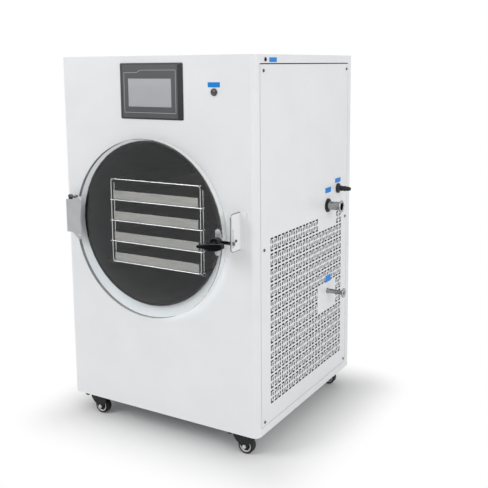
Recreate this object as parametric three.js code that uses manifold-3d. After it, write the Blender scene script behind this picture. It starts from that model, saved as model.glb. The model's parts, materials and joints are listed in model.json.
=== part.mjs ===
// A floor-standing freeze dryer: a sheet-metal cabinet on casters, a round vacuum chamber with a
// wire rack and four trays, a clear hinged door with a turning latch, a touch panel, and the
// refrigeration unit that chills the chamber.
// Units are millimetres. X runs to the right, Y to the back and Z up; the front face looks along -Y.
// The model is laid out from the middle of the cabinet's footprint and moved to the middle of its
// bounding box at the end.

import * as THREE from 'three';
import Module from 'manifold-3d';
import { mergeGeometries, mergeVertices } from 'three/addons/utils/BufferGeometryUtils.js';

const wasm = await Module();
wasm.setup();

// ---- Driving dimensions ----------------------------------------------------------------------

// Shared
const fit = 0.3; // clearance between seated neighbours
const seat = 1; // how far a welded piece is sunk into its carrier
const round = 48; // facets on large rings
const turnedFacets = 20; // facets on pipes, knobs and wheels
const smallFacets = 10; // facets on pins and screws
const boltFacets = 8; // facets on bolt heads
const past = 2; // how far a cutter runs past what it cuts

// Cabinet
const cabinetWidth = 700;
const cabinetDepth = 650;
const cabinetTop = 1160;
const skirtBottom = 68;
const sheet = 2;
const frontCornerRadius = 20;
const rearCornerRadius = 5;
const frontStrip = 21;
const topStrip = 24;
const bottomStrip = 24;
const rearStrip = 28;
const panelGap = 1.5;
const landWidth = 28;

// Vents of the right side panel
const ventColumns = 11;
const ventRows = 11;
const ventPitch = 45.8;
const ventSize = 31;
const ventFieldFront = -246;
const ventFieldBottom = 147;
const ventCell = 39;

// Louvres of the rear panel
const louvreCount = 9;
const louvreLength = 200;
const louvreHeight = 8;
const louvrePitch = 20;
const louvreX = 120;
const louvreZ = 120;

// Base, shelf and saddles
const baseThickness = 3;
const baseRim = 16;
const baseRecess = 2;
const shelfZ = 338;
const shelfThickness = 3;
const shelfRim = 20;
const saddleThickness = 8;
const saddleWidth = 300;
const saddleRise = 75;
const saddleFront = -200;
const saddleRear = 120;

// Chamber
const chamberX = -8;
const chamberZ = 667;
const chamberRadius = 243;
const chamberWall = 3;
const chamberBack = 235;
const noseWidth = 5.5;
const noseProud = 4;
const shoulderWidth = 30;
const shoulderThickness = 6;
const gasketInner = chamberRadius + 0.5;
const gasketOuter = chamberRadius + 5;
const gasketThickness = 6;

// Cold coil and insulation
const coilTurns = 4;
const coilSteps = 16;
const coilTube = 5;
const coilFront = -250;
const coilPitch = 88;
const coilSides = 6;
const foamThickness = 26;
const foamFront = -300;
const pipeSlack = 1; // clearance round pipes where they pass the foam

// Rack and trays
const rackWidth = 330;
const rackFront = -303;
const rackDepth = 470;
const rackRod = 2.5;
const rackBottom = chamberZ - 138;
const rackPitch = 65;
const rackLevels = 5;
const rackOverrun = 6;
const rodSides = 6;
const railTop = 2;
const railThickness = 3;
const railReach = 12;
const trayHeight = 27;
const trayWall = 1.5;
const traySideGap = 6;
const trayEndGap = 1;

// Door
const doorDrop = 14; // how far the door hangs below the chamber's middle
const doorX = chamberX - 2;
const doorZ = chamberZ - doorDrop;
const doorRadius = 269;
const doorThickness = 24;
const doorChamfer = 1.5;

// Hinge
const hingePinX = doorX - 301;
const hingeZ = doorZ + 17;
const hingePinProud = 22;
const hingePinRadius = 4;
const hingeKnuckle = 9;
const hingeBasePlate = 4;
const hingeBaseLeft = hingePinX - 24;
const hingeBaseRight = hingePinX + 24;
const hingeBaseHalf = 55;
const hingeLugHeight = 22;
const hingeLugInset = 5;
const hingeLeafLeft = hingePinX - 4;
const hingeLeafHalf = 52;
const hingeLeafThickness = 5;
const hingeEarRing = doorRadius - 10;
const hingeEarAngles = [164, 190];
const hingeEarRadius = 10;
const leafShoulders = [125, 235]; // angles at which the ears run into the leaf's straight edges
const pinHeadRadius = 7;
const pinHeadHeight = 5;

// Clamp screws of the door
const screwRadius = 3;
const screwHead = 6;
const screwHeadHeight = 4;
const screwDepth = 14;

// Latch
const latchX = doorX + 259;
const latchZ = doorZ - 6;
const latchPlateThickness = 4;
const latchEarRing = doorRadius - 12;
const latchEarAngles = [4.6, -8.6];
const latchEarRadius = 8.5;
const latchBossRadius = 15;
const latchBossArc = [50, -65];
const latchEarEnd = 20;
const latchShaftRadius = 5;
const tongueLength = 55;
const tongueHalf = 5;
const tongueThickness = 4;
const collarRadius = 7;
const hubRadius = 14.5;
const hubLength = 17;
const leverThickness = 14;
const leverTip = 54; // how far the tip reaches to the left of the pivot
const leverHeel = 34; // how far the heel reaches to the right
const leverBack = 3; // how far the heel's top stands above the pivot
const leverShoulder = 8; // how far the tip's top lies below the pivot
const leverBelly = 24; // how far the palm hangs below the pivot
const leverEnd = 17; // how far the tip's underside lies below the pivot
const leverCorner = 6;

// Strike
const strikeX = latchX + 45.5;
const strikeThickness = 3.5;
const strikeBottom = latchZ - 24;
const strikeTop = latchZ + 81;
const strikeProud = 49;
const strikeFoot = 24;
const strikeFootThickness = 3;
const strikeCorner = 10;
const windowBottom = latchZ - 13;
const windowTop = latchZ + 40;
const windowBack = 34;
const strikeBar = 4;

// Touch panel
const panelX = 0;
const panelZ = cabinetTop - 102;
const bezelWidth = 226;
const bezelHeight = 163;
const bezelProud = 6;
const bezelBevel = 3;
const housingDepth = 38;
const housingMargin = 10;
const screenX = panelX - 3;
const screenZ = panelZ - 4;
const screenWidth = 156;
const screenHeight = 82;
const screenThickness = 2;
const screenSunk = 1;

// Key switch
const keyX = 217;
const keyZ = panelZ;
const keyFlange = 10.5;
const keyFlangeProud = 3;
const keyBarrel = 9;
const keyBarrelLength = 30;
const keyPlug = 6;
const keyPlugLength = 16;
const keySlotWidth = 2;
const keySlotDepth = 4;
const keySlotAngle = 40;

// Control box
const controlWidth = 420;
const controlDepth = 230;
const controlHeight = 150;
const controlFront = -270;
const controlWall = 1.5;
const cableSlotLength = 80;
const cableSlotWidth = 20;

// Vacuum port
const vacuumY = 143;
const vacuumZ = chamberZ + 10;
const vacuumPipe = 14;
const vacuumWall = 1.5;
const vacuumReach = 50;
const vacuumFlange = 20;
const vacuumFlangeThickness = 4;
const grommetOuter = 22.5;
const grommetNeck = 18;
const grommetLip = 4;

// Drain port
const drainY = 145;
const drainZ = shelfZ + 51;
const drainPipe = 7.5;
const drainReach = 60;
const drainFlange = 16;
const drainCone = 9;
const drainHole = 9;
const drainBore = 5;
const drainBoreDepth = 30;

// Vent nozzle
const nozzleY = 221;
const nozzleZ = chamberZ + 56;
const nozzleBase = 16.5;
const nozzleBaseThickness = 7;
const nozzleReach = 46;
const nozzleBore = 3;
const nozzleStub = 8;
const nozzleStubLength = 20;
const nozzleChamfer = 2;
const barbRise = 1; // how far a barb's edge stands out
const barbLength = 9;
const ventPipe = 5;

// Round socket on the top strip
const socketY = -273;
const socketZ = cabinetTop - 14;
const socketRadius = 6;
const socketLip = 1;
const socketProud = 2;
const socketDepth = 12;
const socketBore = 3.5;

// Mains gland on the rear panel
const glandX = -250;
const glandZ = 180;
const glandNut = 14;
const glandNutLength = 10;
const glandDome = 10;
const glandDomeLength = 12;
const glandThread = 8;
const glandThreadLength = 18;
const glandBore = 4.5;

// Compressor
const compressorX = -150;
const compressorRadius = 85;
const compressorHeight = 215;
const compressorRound = 35;
const compressorFoot = 170;
const compressorFootThickness = 4;
const compressorGrommet = 12;
const compressorGrommetHeight = 12;

// Condenser, shroud, fan and fan motor
const condenserX = cabinetWidth / 2 - 50;
const condenserY = -30;
const condenserThickness = 44;
const condenserWidth = 300;
const condenserHeight = 235;
const condenserGrooves = 14;
const condenserGroove = 8;
const condenserGrooveDepth = 10;
const shroudDepth = 40;
const shroudWall = 3;
const shroudPlateMargin = 10;
const fanRadius = 96;
const fanTipGap = 3;
const fanHub = 26;
const fanDepth = 22;
const fanBlades = 5;
const fanBladeThickness = 3;
const fanPitch = 35;
const fanSetback = 6;
const motorRadius = 34;
const motorLength = 70;
const motorShaft = 5;
const motorShaftLength = 24;
const motorFootWidth = 60;
const motorFootInset = 17.5;

// Refrigerant pipes
const gasPipe = 5;
const pipeSides = 8;
const liquidRun = 110;
const suctionHeight = 250;
const dischargeRise = 22;
const dischargeOffset = 40;

// Casters
const casterX = 275;
const casterY = 290;
const casterPlateWidth = 74;
const casterPlateDepth = 66;
const casterPlateThickness = 3;
const casterBoltX = 27;
const casterBoltY = 23;
const casterBoltRadius = 8;
const casterBoltHeight = 10;
const casterBoltCrown = 4.8;
const casterBoltTip = 1;
const wheelRadius = 25;
const wheelWidth = 24;
const wheelBore = 4.4;
const wheelTrail = 18;
const wheelTopGap = 3;
const axleRadius = 4;
const axleNut = 7;
const axleNutHeight = 3;
const forkThickness = 2.5;
const forkSideGap = 1.2;
const forkCrown = 20;
const forkEye = 9;
const forkEyeArc = [215, 350];
const racewayRadius = 17;
const kingpin = 5;
const kingpinHead = 7.5;
const kingpinHeadHeight = 2;
const wheelEdge = 3.5;
const wheelDish = 3;
const brakePivotX = -27;
const brakePivotZ = 19;
const brakePin = 2.2;
const brakeEye = 4.2;
const brakeArm = 3;
const brakeWidth = 20;
const brakeTread = [-38, 25];
const brakeShoe = [-31, 8];

// ---- Derived places --------------------------------------------------------------------------

const halfWidth = cabinetWidth / 2;
const halfDepth = cabinetDepth / 2;
const frontFace = -halfDepth;
const sideWindow = {
  y0: frontFace + frontStrip,
  y1: halfDepth - rearStrip,
  z0: skirtBottom + bottomStrip,
  z1: cabinetTop - topStrip,
};
const rearWindow = {
  x0: -halfWidth + rearStrip,
  x1: halfWidth - rearStrip,
  z0: skirtBottom + bottomStrip,
  z1: cabinetTop - topStrip,
};
const baseUnder = skirtBottom + baseRecess;
const baseTop = baseUnder + baseThickness;
const shelfTop = shelfZ + shelfThickness;
const chamberOuter = chamberRadius + chamberWall;
const chamberFront = frontFace - noseProud;
const noseOuter = chamberRadius + noseWidth;
const gasketFront = chamberFront - gasketThickness;
const doorBackProud = noseProud + gasketThickness + fit;
const doorFrontProud = doorBackProud + doorThickness;
const platesProud = doorFrontProud + fit;
const coilRadius = (chamberOuter + fit + coilTube) / Math.cos(Math.PI / coilSteps) + fit;
const foamInner = (coilRadius + coilTube + fit) / Math.cos(Math.PI / round) + fit;
const foamOuter = foamInner + foamThickness;
const coilRear = coilFront + coilTurns * coilPitch;
const rackRear = rackFront + rackDepth;
const sideFace = halfWidth;

// ---- Geometry helpers ------------------------------------------------------------------------

/** Signed volume of an indexed geometry; negative when its faces point inwards. */
function signedVolume(positions, indices) {
  const a = new THREE.Vector3();
  const b = new THREE.Vector3();
  const c = new THREE.Vector3();
  let volume = 0;
  for (let i = 0; i < indices.length; i += 3) {
    a.fromBufferAttribute(positions, indices[i]);
    b.fromBufferAttribute(positions, indices[i + 1]);
    c.fromBufferAttribute(positions, indices[i + 2]);
    volume += a.dot(b.cross(c)) / 6;
  }
  return volume;
}

/** Shares the vertices of a closed geometry, drops empty triangles and turns its faces outwards. */
function weld(geometry) {
  const bare = geometry.clone();
  bare.deleteAttribute('normal');
  bare.deleteAttribute('uv');
  const merged = mergeVertices(bare, 1e-4);
  const index = merged.index.array;
  const kept = [];
  for (let i = 0; i < index.length; i += 3) {
    const [a, b, c] = [index[i], index[i + 1], index[i + 2]];
    if (a !== b && b !== c && c !== a) kept.push(a, b, c);
  }
  if (signedVolume(merged.attributes.position, kept) < 0) kept.reverse();
  merged.setIndex(kept);
  return merged;
}

function toSolid(geometry) {
  const merged = weld(geometry);
  const mesh = new wasm.Mesh({
    numProp: 3,
    vertProperties: new Float32Array(merged.attributes.position.array),
    triVerts: new Uint32Array(merged.index.array),
  });
  return new wasm.Manifold(mesh);
}

function toGeometry(solid) {
  const mesh = solid.getMesh();
  const geometry = new THREE.BufferGeometry();
  geometry.setAttribute('position', new THREE.BufferAttribute(new Float32Array(mesh.vertProperties), 3));
  geometry.setIndex(new THREE.BufferAttribute(new Uint32Array(mesh.triVerts), 1));
  return geometry;
}

function cut(base, tools) {
  let solid = toSolid(base);
  for (const tool of tools) solid = solid.subtract(toSolid(tool));
  return toGeometry(solid);
}

function join(pieces) {
  let solid = toSolid(pieces[0]);
  for (const piece of pieces.slice(1)) solid = solid.add(toSolid(piece));
  return toGeometry(solid);
}

/** A box given by its lowest and highest corners. */
function block(x0, x1, y0, y1, z0, z1) {
  const geometry = new THREE.BoxGeometry(x1 - x0, y1 - y0, z1 - z0);
  return geometry.translate((x0 + x1) / 2, (y0 + y1) / 2, (z0 + z1) / 2);
}

const alongX = new THREE.Matrix4().makeRotationZ(-Math.PI / 2);
const alongZ = new THREE.Matrix4().makeRotationX(Math.PI / 2);

/** Turns [radius, station] points about the Y, X or Z axis. */
function turned(profile, axis, facets) {
  const points = profile.map(([radius, station]) => new THREE.Vector2(radius, station));
  const geometry = new THREE.LatheGeometry(points, facets);
  if (axis === 'x') geometry.applyMatrix4(alongX);
  if (axis === 'z') geometry.applyMatrix4(alongZ);
  return geometry;
}

/** A solid bar of round section between two stations on an axis. */
function bar(radius, from, to, axis, facets) {
  return turned([[0, from], [radius, from], [radius, to], [0, to]], axis, facets);
}

/** A turned ring with a square section. */
function ring(inner, outer, from, to, axis, facets) {
  const profile = [[inner, from], [outer, from], [outer, to], [inner, to], [inner, from]];
  return turned(profile, axis, facets);
}

/** A straight rod between two points. */
function rod(start, end, radius, sides) {
  const direction = new THREE.Vector3().subVectors(end, start);
  const geometry = new THREE.CylinderGeometry(radius, radius, direction.length(), sides);
  const turn = new THREE.Quaternion();
  turn.setFromUnitVectors(new THREE.Vector3(0, 1, 0), direction.clone().normalize());
  geometry.applyQuaternion(turn);
  return geometry.translate(...new THREE.Vector3().addVectors(start, end).multiplyScalar(0.5));
}

const frontBasis = new THREE.Matrix4().makeBasis(
  new THREE.Vector3(1, 0, 0),
  new THREE.Vector3(0, 0, 1),
  new THREE.Vector3(0, -1, 0),
);
const sideBasis = new THREE.Matrix4().makeBasis(
  new THREE.Vector3(0, 1, 0),
  new THREE.Vector3(0, 0, 1),
  new THREE.Vector3(1, 0, 0),
);

function extruded(shape, depth, curveSegments) {
  return new THREE.ExtrudeGeometry(shape, { depth, bevelEnabled: false, curveSegments });
}

/** Extrudes an (x, z) outline towards the viewer, between two distances proud of the front face. */
function extrudeFront(shape, fromProud, toProud, curveSegments = 6) {
  const geometry = extruded(shape, toProud - fromProud, curveSegments).applyMatrix4(frontBasis);
  return geometry.translate(0, frontFace - fromProud, 0);
}

/** Extrudes a (y, z) outline along X. */
function extrudeSide(shape, fromX, toX, curveSegments = 6) {
  return extruded(shape, toX - fromX, curveSegments).applyMatrix4(sideBasis).translate(fromX, 0, 0);
}

/** Extrudes an (x, y) outline upwards. */
function extrudeUp(shape, fromZ, toZ, curveSegments = 4) {
  return extruded(shape, toZ - fromZ, curveSegments).translate(0, 0, fromZ);
}

function rectangle(x0, x1, y0, y1, Type = THREE.Shape) {
  const shape = new Type();
  shape.moveTo(x0, y0);
  shape.lineTo(x1, y0);
  shape.lineTo(x1, y1);
  shape.lineTo(x0, y1);
  shape.closePath();
  return shape;
}

const radians = THREE.MathUtils.degToRad;

/** A pipe brazed from straight runs, with a ball elbow at each corner. */
function pipe(points, radius) {
  const runs = points.slice(1).map((end, i) => rod(points[i], end, radius, pipeSides));
  const elbows = points.slice(1, -1).map((corner) => {
    return new THREE.SphereGeometry(radius, pipeSides, pipeSides / 2).translate(...corner);
  });
  return join([...runs, ...elbows]);
}

const vector = (x, y, z) => new THREE.Vector3(x, y, z);

// ---- Materials -------------------------------------------------------------------------------

function material(color, roughness, metalness, extra = {}) {
  return new THREE.MeshStandardMaterial({ color, roughness, metalness, ...extra });
}

const paint = material(0xe4e5e7, 0.45, 0);
const steel = material(0xb9bbbc, 0.35, 1);
const zinc = material(0x9fa3a6, 0.5, 1);
const blackPaint = material(0x1c1c1e, 0.5, 0);
const darkChamber = material(0x2b2b2d, 0.45, 0.2);
const rubber = material(0x161617, 0.9, 0);
const darkPlastic = material(0x5a5b5e, 0.5, 0);
const blackPlastic = material(0x18181a, 0.4, 0);
const screenGlass = material(0xb9bcc0, 0.15, 0);
const acrylic = material(0xdfe8ea, 0.05, 0, { transparent: true, opacity: 0.35 });
const copper = material(0xb87333, 0.35, 1);
const foam = material(0xd9cfa8, 0.95, 0);
const aluminium = material(0xc7c9cb, 0.4, 1);

const root = new THREE.Group();

function place(name, geometry, look, parent = root) {
  const mesh = new THREE.Mesh(weld(geometry), look);
  mesh.name = name;
  parent.add(mesh);
  return mesh;
}

// ---- Cabinet ---------------------------------------------------------------------------------

/** The cabinet's plan outline, shrunk by an inset. */
function planShape(inset) {
  const front = frontCornerRadius - inset;
  const rear = rearCornerRadius - inset;
  const x = halfWidth - inset;
  const y = halfDepth - inset;
  const shape = new THREE.Shape();
  shape.moveTo(-x + front, -y);
  shape.lineTo(x - front, -y);
  shape.absarc(x - front, -y + front, front, -Math.PI / 2, 0, false);
  shape.lineTo(x, y - rear);
  shape.absarc(x - rear, y - rear, rear, 0, Math.PI / 2, false);
  shape.lineTo(-x + rear, y);
  shape.absarc(-x + rear, y - rear, rear, Math.PI / 2, Math.PI, false);
  shape.lineTo(-x, -y + front);
  shape.absarc(-x + front, -y + front, front, Math.PI, 1.5 * Math.PI, false);
  return shape;
}

/** Folded lands behind the edges of one window, which the panel screws to. */
function sideLands(side) {
  const from = side * (halfWidth - 2 * sheet);
  const to = side * (halfWidth - sheet / 2);
  const { y0, y1, z0, z1 } = sideWindow;
  return block(Math.min(from, to), Math.max(from, to), y0 - seat, y1 + seat, z0 - seat, z1 + seat);
}

function sideOpening(side) {
  const from = side * (halfWidth - 3 * sheet);
  const to = side * (halfWidth + past);
  const { y0, y1, z0, z1 } = sideWindow;
  const land = landWidth;
  return block(Math.min(from, to), Math.max(from, to), y0 + land, y1 - land, z0 + land, z1 - land);
}

function sideSeat(side) {
  const from = side * (halfWidth - sheet);
  const to = side * (halfWidth + past);
  const { y0, y1, z0, z1 } = sideWindow;
  return block(Math.min(from, to), Math.max(from, to), y0, y1, z0, z1);
}

function cabinetShell() {
  const { x0, x1, z0, z1 } = rearWindow;
  const land = landWidth;
  const outer = extrudeUp(planShape(0), skirtBottom, cabinetTop);
  const hollow = extrudeUp(planShape(sheet), skirtBottom - past, cabinetTop - sheet);
  const rearLands = block(
    x0 - seat, x1 + seat, halfDepth - 2 * sheet, halfDepth - sheet / 2, z0 - seat, z1 + seat,
  );
  const rearOpening = block(
    x0 + land, x1 - land, halfDepth - 3 * sheet, halfDepth + past, z0 + land, z1 - land,
  );
  const rearSeat = block(x0, x1, halfDepth - sheet, halfDepth + past, z0, z1);
  const walls = join([cut(outer, [hollow]), sideLands(1), sideLands(-1), rearLands]);
  const chamberHole = bar(noseOuter + fit, frontFace - past, frontFace + 3 * sheet, 'y', round);
  chamberHole.translate(chamberX, 0, chamberZ);
  const housingX = bezelWidth / 2 - housingMargin + fit;
  const housingZ = bezelHeight / 2 - housingMargin + fit;
  const panelHole = block(
    panelX - housingX, panelX + housingX, frontFace - past, frontFace + 3 * sheet,
    panelZ - housingZ, panelZ + housingZ,
  );
  const keyHole = bar(keyBarrel + fit, frontFace - past, frontFace + 3 * sheet, 'y', turnedFacets);
  keyHole.translate(keyX, 0, keyZ);
  const socketHole = bar(
    socketRadius - socketLip + fit, sideFace - 3 * sheet, sideFace + past, 'x', turnedFacets,
  );
  socketHole.translate(0, socketY, socketZ);
  return cut(walls, [
    sideOpening(1), sideSeat(1), sideOpening(-1), sideSeat(-1), rearOpening, rearSeat,
    chamberHole, panelHole, keyHole, socketHole,
  ]);
}

/** Vent positions of the right panel; three blocks stay blank round the ports. */
function ventCells() {
  const cells = [];
  const blankRows = [0, 5, 6];
  for (let row = 0; row < ventRows; row += 1) {
    for (let column = 0; column < ventColumns; column += 1) {
      const nearPort = column >= 7 && column <= 9 && blankRows.includes(row);
      if (nearPort) continue;
      const y = ventFieldFront + ventCell / 2 + column * ventPitch;
      const z = ventFieldBottom + ventCell / 2 + (ventRows - 1 - row) * ventPitch;
      cells.push({ y, z });
    }
  }
  return cells;
}

function rightPanel() {
  const { y0, y1, z0, z1 } = sideWindow;
  const inside = halfWidth - sheet;
  const half = ventSize / 2;
  const plate = block(inside, halfWidth, y0 + panelGap, y1 - panelGap, z0 + panelGap, z1 - panelGap);
  const vents = ventCells().map(({ y, z }) => block(
    inside - past, halfWidth + past, y - half, y + half, z - half, z + half,
  ));
  const portHole = (y, z, radius) => {
    const hole = bar(radius, inside - past, halfWidth + past, 'x', turnedFacets);
    return hole.translate(0, y, z);
  };
  return cut(plate, [
    mergeGeometries(vents),
    portHole(vacuumY, vacuumZ, grommetNeck + fit),
    portHole(drainY, drainZ, drainHole),
    portHole(nozzleY, nozzleZ, nozzleStub + fit),
  ]);
}

function leftPanel() {
  const { y0, y1, z0, z1 } = sideWindow;
  const shape = rectangle(y0 + panelGap, y1 - panelGap, z0 + panelGap, z1 - panelGap);
  return extrudeSide(shape, -halfWidth, -halfWidth + sheet);
}

function rearPanel() {
  const { x0, x1, z0, z1 } = rearWindow;
  const inside = halfDepth - sheet;
  const plate = block(x0 + panelGap, x1 - panelGap, inside, halfDepth, z0 + panelGap, z1 - panelGap);
  const louvres = [];
  for (let i = 0; i < louvreCount; i += 1) {
    const z = louvreZ + landWidth + i * louvrePitch;
    const left = louvreX - louvreLength / 2;
    louvres.push(block(left, left + louvreLength, inside - past, halfDepth + past, z, z + louvreHeight));
  }
  const glandHole = bar(glandThread + fit, inside - past, halfDepth + past, 'y', turnedFacets);
  return cut(plate, [mergeGeometries(louvres), glandHole.translate(glandX, 0, glandZ)]);
}

function basePan() {
  const inset = sheet + fit;
  const pan = extrudeUp(planShape(inset), baseUnder, baseTop + baseRim);
  const hollow = extrudeUp(planShape(inset + sheet), baseTop, baseTop + baseRim + past);
  return cut(pan, [hollow]);
}

/** The shelf that carries the chamber, with its two saddles welded on. */
function chamberShelf() {
  const inset = 2 * sheet + fit;
  const x = halfWidth - inset;
  const front = frontFace + inset;
  const rear = halfDepth - inset;
  const plate = extrudeUp(planShape(inset), shelfZ, shelfTop);
  const rim = (y) => block(
    -x + landWidth, x - landWidth, y, y + sheet, shelfZ - shelfRim, shelfZ + seat,
  );
  const saddles = [saddleFront, saddleRear].map((y) => block(
    chamberX - saddleWidth / 2, chamberX + saddleWidth / 2, y, y + saddleThickness,
    shelfTop - seat, shelfTop + saddleRise,
  ));
  const cradle = bar(foamOuter + fit, saddleFront - past, saddleRear + saddleThickness + past, 'y', round);
  cradle.translate(chamberX, 0, chamberZ);
  const drops = [liquidDrop(), suctionDrop()].map((at) => {
    const hole = bar(gasPipe + past, shelfZ - past, shelfTop + past, 'z', smallFacets);
    return hole.translate(at.x, at.y, 0);
  });
  return cut(join([plate, rim(front), rim(rear - sheet), ...saddles]), [cradle, ...drops]);
}

/** Where the liquid pipe rises to the front end of the coil. */
function liquidDrop() {
  return vector(chamberX, coilFront, chamberZ - coilRadius - coilTube - fit);
}

/** Where the suction pipe leaves the rear end of the coil. */
function suctionDrop() {
  return vector(chamberX, coilRear, chamberZ - coilRadius - coilTube - fit);
}

place('cabinet_shell', cabinetShell(), paint);
place('side_panel_right', rightPanel(), paint);
place('side_panel_left', leftPanel(), paint);
place('rear_panel', rearPanel(), paint);
place('base_pan', basePan(), zinc);
place('chamber_shelf', chamberShelf(), zinc);

// ---- Chamber, coil and insulation ------------------------------------------------------------

/** How far from the chamber's middle plane a rack rail starts and ends. */
function rackRail(side) {
  const top = rackBottom - rackRod - fit;
  const drop = chamberZ - top + railThickness;
  const wallX = Math.sqrt(chamberRadius ** 2 - drop ** 2);
  const inner = rackWidth / 2 - railReach;
  const outer = wallX + railTop;
  const from = chamberX + side * inner;
  const to = chamberX + side * outer;
  return block(Math.min(from, to), Math.max(from, to), rackFront, rackRear, top - railThickness, top);
}

function vacuumChamber() {
  const shoulderFront = frontFace + sheet + fit;
  const shoulderBack = shoulderFront + shoulderThickness;
  const shoulderOuter = chamberRadius + shoulderWidth;
  const profile = [
    [0, chamberBack],
    [chamberOuter, chamberBack],
    [chamberOuter, shoulderBack],
    [shoulderOuter, shoulderBack],
    [shoulderOuter, shoulderFront],
    [noseOuter, shoulderFront],
    [noseOuter, chamberFront],
    [chamberRadius, chamberFront],
    [chamberRadius, chamberBack - chamberWall],
    [0, chamberBack - chamberWall],
  ];
  const can = turned(profile, 'y', round).translate(chamberX, 0, chamberZ);
  const vacuumHole = bar(vacuumPipe + fit, 0, halfWidth, 'x', turnedFacets).translate(0, vacuumY, vacuumZ);
  const nozzleHole = bar(ventPipe + fit, 0, halfWidth, 'x', smallFacets).translate(0, nozzleY, nozzleZ);
  const drainHoleTool = bar(drainPipe + 2 * fit, shelfTop, chamberZ, 'z', smallFacets);
  drainHoleTool.translate(chamberX, drainY, 0);
  return cut(join([can, rackRail(1), rackRail(-1)]), [vacuumHole, nozzleHole, drainHoleTool]);
}

function doorGasket() {
  const geometry = ring(gasketInner, gasketOuter, gasketFront, chamberFront, 'y', round);
  return geometry.translate(chamberX, 0, chamberZ);
}

class Helix extends THREE.Curve {
  getPoint(t, target = new THREE.Vector3()) {
    const angle = -Math.PI / 2 + t * coilTurns * 2 * Math.PI;
    const x = chamberX + coilRadius * Math.cos(angle);
    const z = chamberZ + coilRadius * Math.sin(angle);
    return target.set(x, coilFront + t * coilTurns * coilPitch, z);
  }
}

function coldCoil() {
  const section = new THREE.Shape();
  section.absarc(0, 0, coilTube, 0, 2 * Math.PI, false);
  return new THREE.ExtrudeGeometry(section, {
    steps: coilTurns * coilSteps,
    curveSegments: coilSides / 2,
    extrudePath: new Helix(),
    bevelEnabled: false,
  });
}

function insulation() {
  const back = chamberBack + fit;
  const profile = [
    [0, back],
    [foamInner, back],
    [foamInner, foamFront],
    [foamOuter, foamFront],
    [foamOuter, back + foamThickness],
    [0, back + foamThickness],
  ];
  const cup = turned(profile, 'y', round).translate(chamberX, 0, chamberZ);
  const vacuumHole = bar(vacuumPipe + pipeSlack, 0, halfWidth, 'x', turnedFacets);
  vacuumHole.translate(0, vacuumY, vacuumZ);
  const nozzleHole = bar(ventPipe + pipeSlack, 0, halfWidth, 'x', smallFacets).translate(0, nozzleY, nozzleZ);
  const channel = drainPipe + pipeSlack;
  const drainChannel = block(
    chamberX - channel, halfWidth, drainY - channel, drainY + channel,
    drainZ - channel, chamberZ - foamInner + past,
  );
  const dropHoles = [liquidDrop(), suctionDrop()].map((at) => {
    const hole = bar(gasPipe + pipeSlack, shelfTop, chamberZ - coilRadius, 'z', smallFacets);
    return hole.translate(at.x, at.y, 0);
  });
  return cut(cup, [vacuumHole, nozzleHole, drainChannel, ...dropHoles]);
}

place('vacuum_chamber', vacuumChamber(), darkChamber);
place('door_gasket', doorGasket(), rubber);
place('cold_coil', coldCoil(), copper);
place('insulation', insulation(), foam);

// ---- Rack and trays --------------------------------------------------------------------------

function trayRack() {
  const left = chamberX - rackWidth / 2;
  const right = chamberX + rackWidth / 2;
  const top = rackBottom + (rackLevels - 1) * rackPitch;
  const rods = [];
  for (let level = 0; level < rackLevels; level += 1) {
    const z = rackBottom + level * rackPitch;
    for (const y of [rackFront, rackRear]) {
      const from = vector(left - rackOverrun, y, z);
      rods.push(rod(from, vector(right + rackOverrun, y, z), rackRod, rodSides));
    }
    for (const x of [left, right]) {
      rods.push(rod(vector(x, rackFront, z), vector(x, rackRear, z), rackRod, rodSides));
    }
  }
  for (const x of [left, right]) {
    for (const y of [rackFront, rackRear]) {
      const foot = vector(x, y, rackBottom - rackRod / 2);
      rods.push(rod(foot, vector(x, y, top + rackRod / 2), rackRod, rodSides));
    }
  }
  return join(rods);
}

function tray(level) {
  const x0 = chamberX - rackWidth / 2 + rackRod + traySideGap;
  const x1 = chamberX + rackWidth / 2 - rackRod - traySideGap;
  const y0 = rackFront - trayEndGap;
  const y1 = rackRear + trayEndGap;
  const z0 = rackBottom + level * rackPitch + rackRod + fit;
  const body = block(x0, x1, y0, y1, z0, z0 + trayHeight);
  const well = block(
    x0 + trayWall, x1 - trayWall, y0 + trayWall, y1 - trayWall, z0 + trayWall, z0 + trayHeight + past,
  );
  return cut(body, [well]);
}

place('tray_rack', trayRack(), steel);
for (let level = 0; level < rackLevels - 1; level += 1) place(`tray_${level + 1}`, tray(level), steel);

// ---- Door, hinge, latch and strike -----------------------------------------------------------

/** A point on a circle about the door's middle, as (x, z). */
function aroundDoor(radius, degrees) {
  const angle = radians(degrees);
  return new THREE.Vector2(doorX + radius * Math.cos(angle), doorZ + radius * Math.sin(angle));
}

const hingeScrews = hingeEarAngles.map((angle) => aroundDoor(hingeEarRing, angle));
const latchScrews = latchEarAngles.map((angle) => aroundDoor(latchEarRing, angle));

function frontBar(at, radius, fromProud, toProud, facets) {
  return bar(radius, frontFace - toProud, frontFace - fromProud, 'y', facets).translate(at.x, 0, at.y);
}

/** A button-head screw whose shank runs back into the door. */
function clampScrew(at, plateFront) {
  const shank = frontBar(at, screwRadius, doorFrontProud - screwDepth, plateFront, smallFacets);
  const head = frontBar(at, screwHead, plateFront - seat, plateFront + screwHeadHeight, smallFacets);
  return [shank, head];
}

function doorDisc() {
  const front = frontFace - doorFrontProud;
  const back = frontFace - doorBackProud;
  const profile = [
    [0, front],
    [doorRadius - doorChamfer, front],
    [doorRadius, front + doorChamfer],
    [doorRadius, back - doorChamfer],
    [doorRadius - doorChamfer, back],
    [0, back],
  ];
  const disc = turned(profile, 'y', round).translate(doorX, 0, doorZ);
  const holes = [...hingeScrews, ...latchScrews].map((at) => frontBar(
    at, screwRadius + fit, doorFrontProud - screwDepth - fit, doorFrontProud + past, smallFacets,
  ));
  return cut(disc, holes);
}

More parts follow.
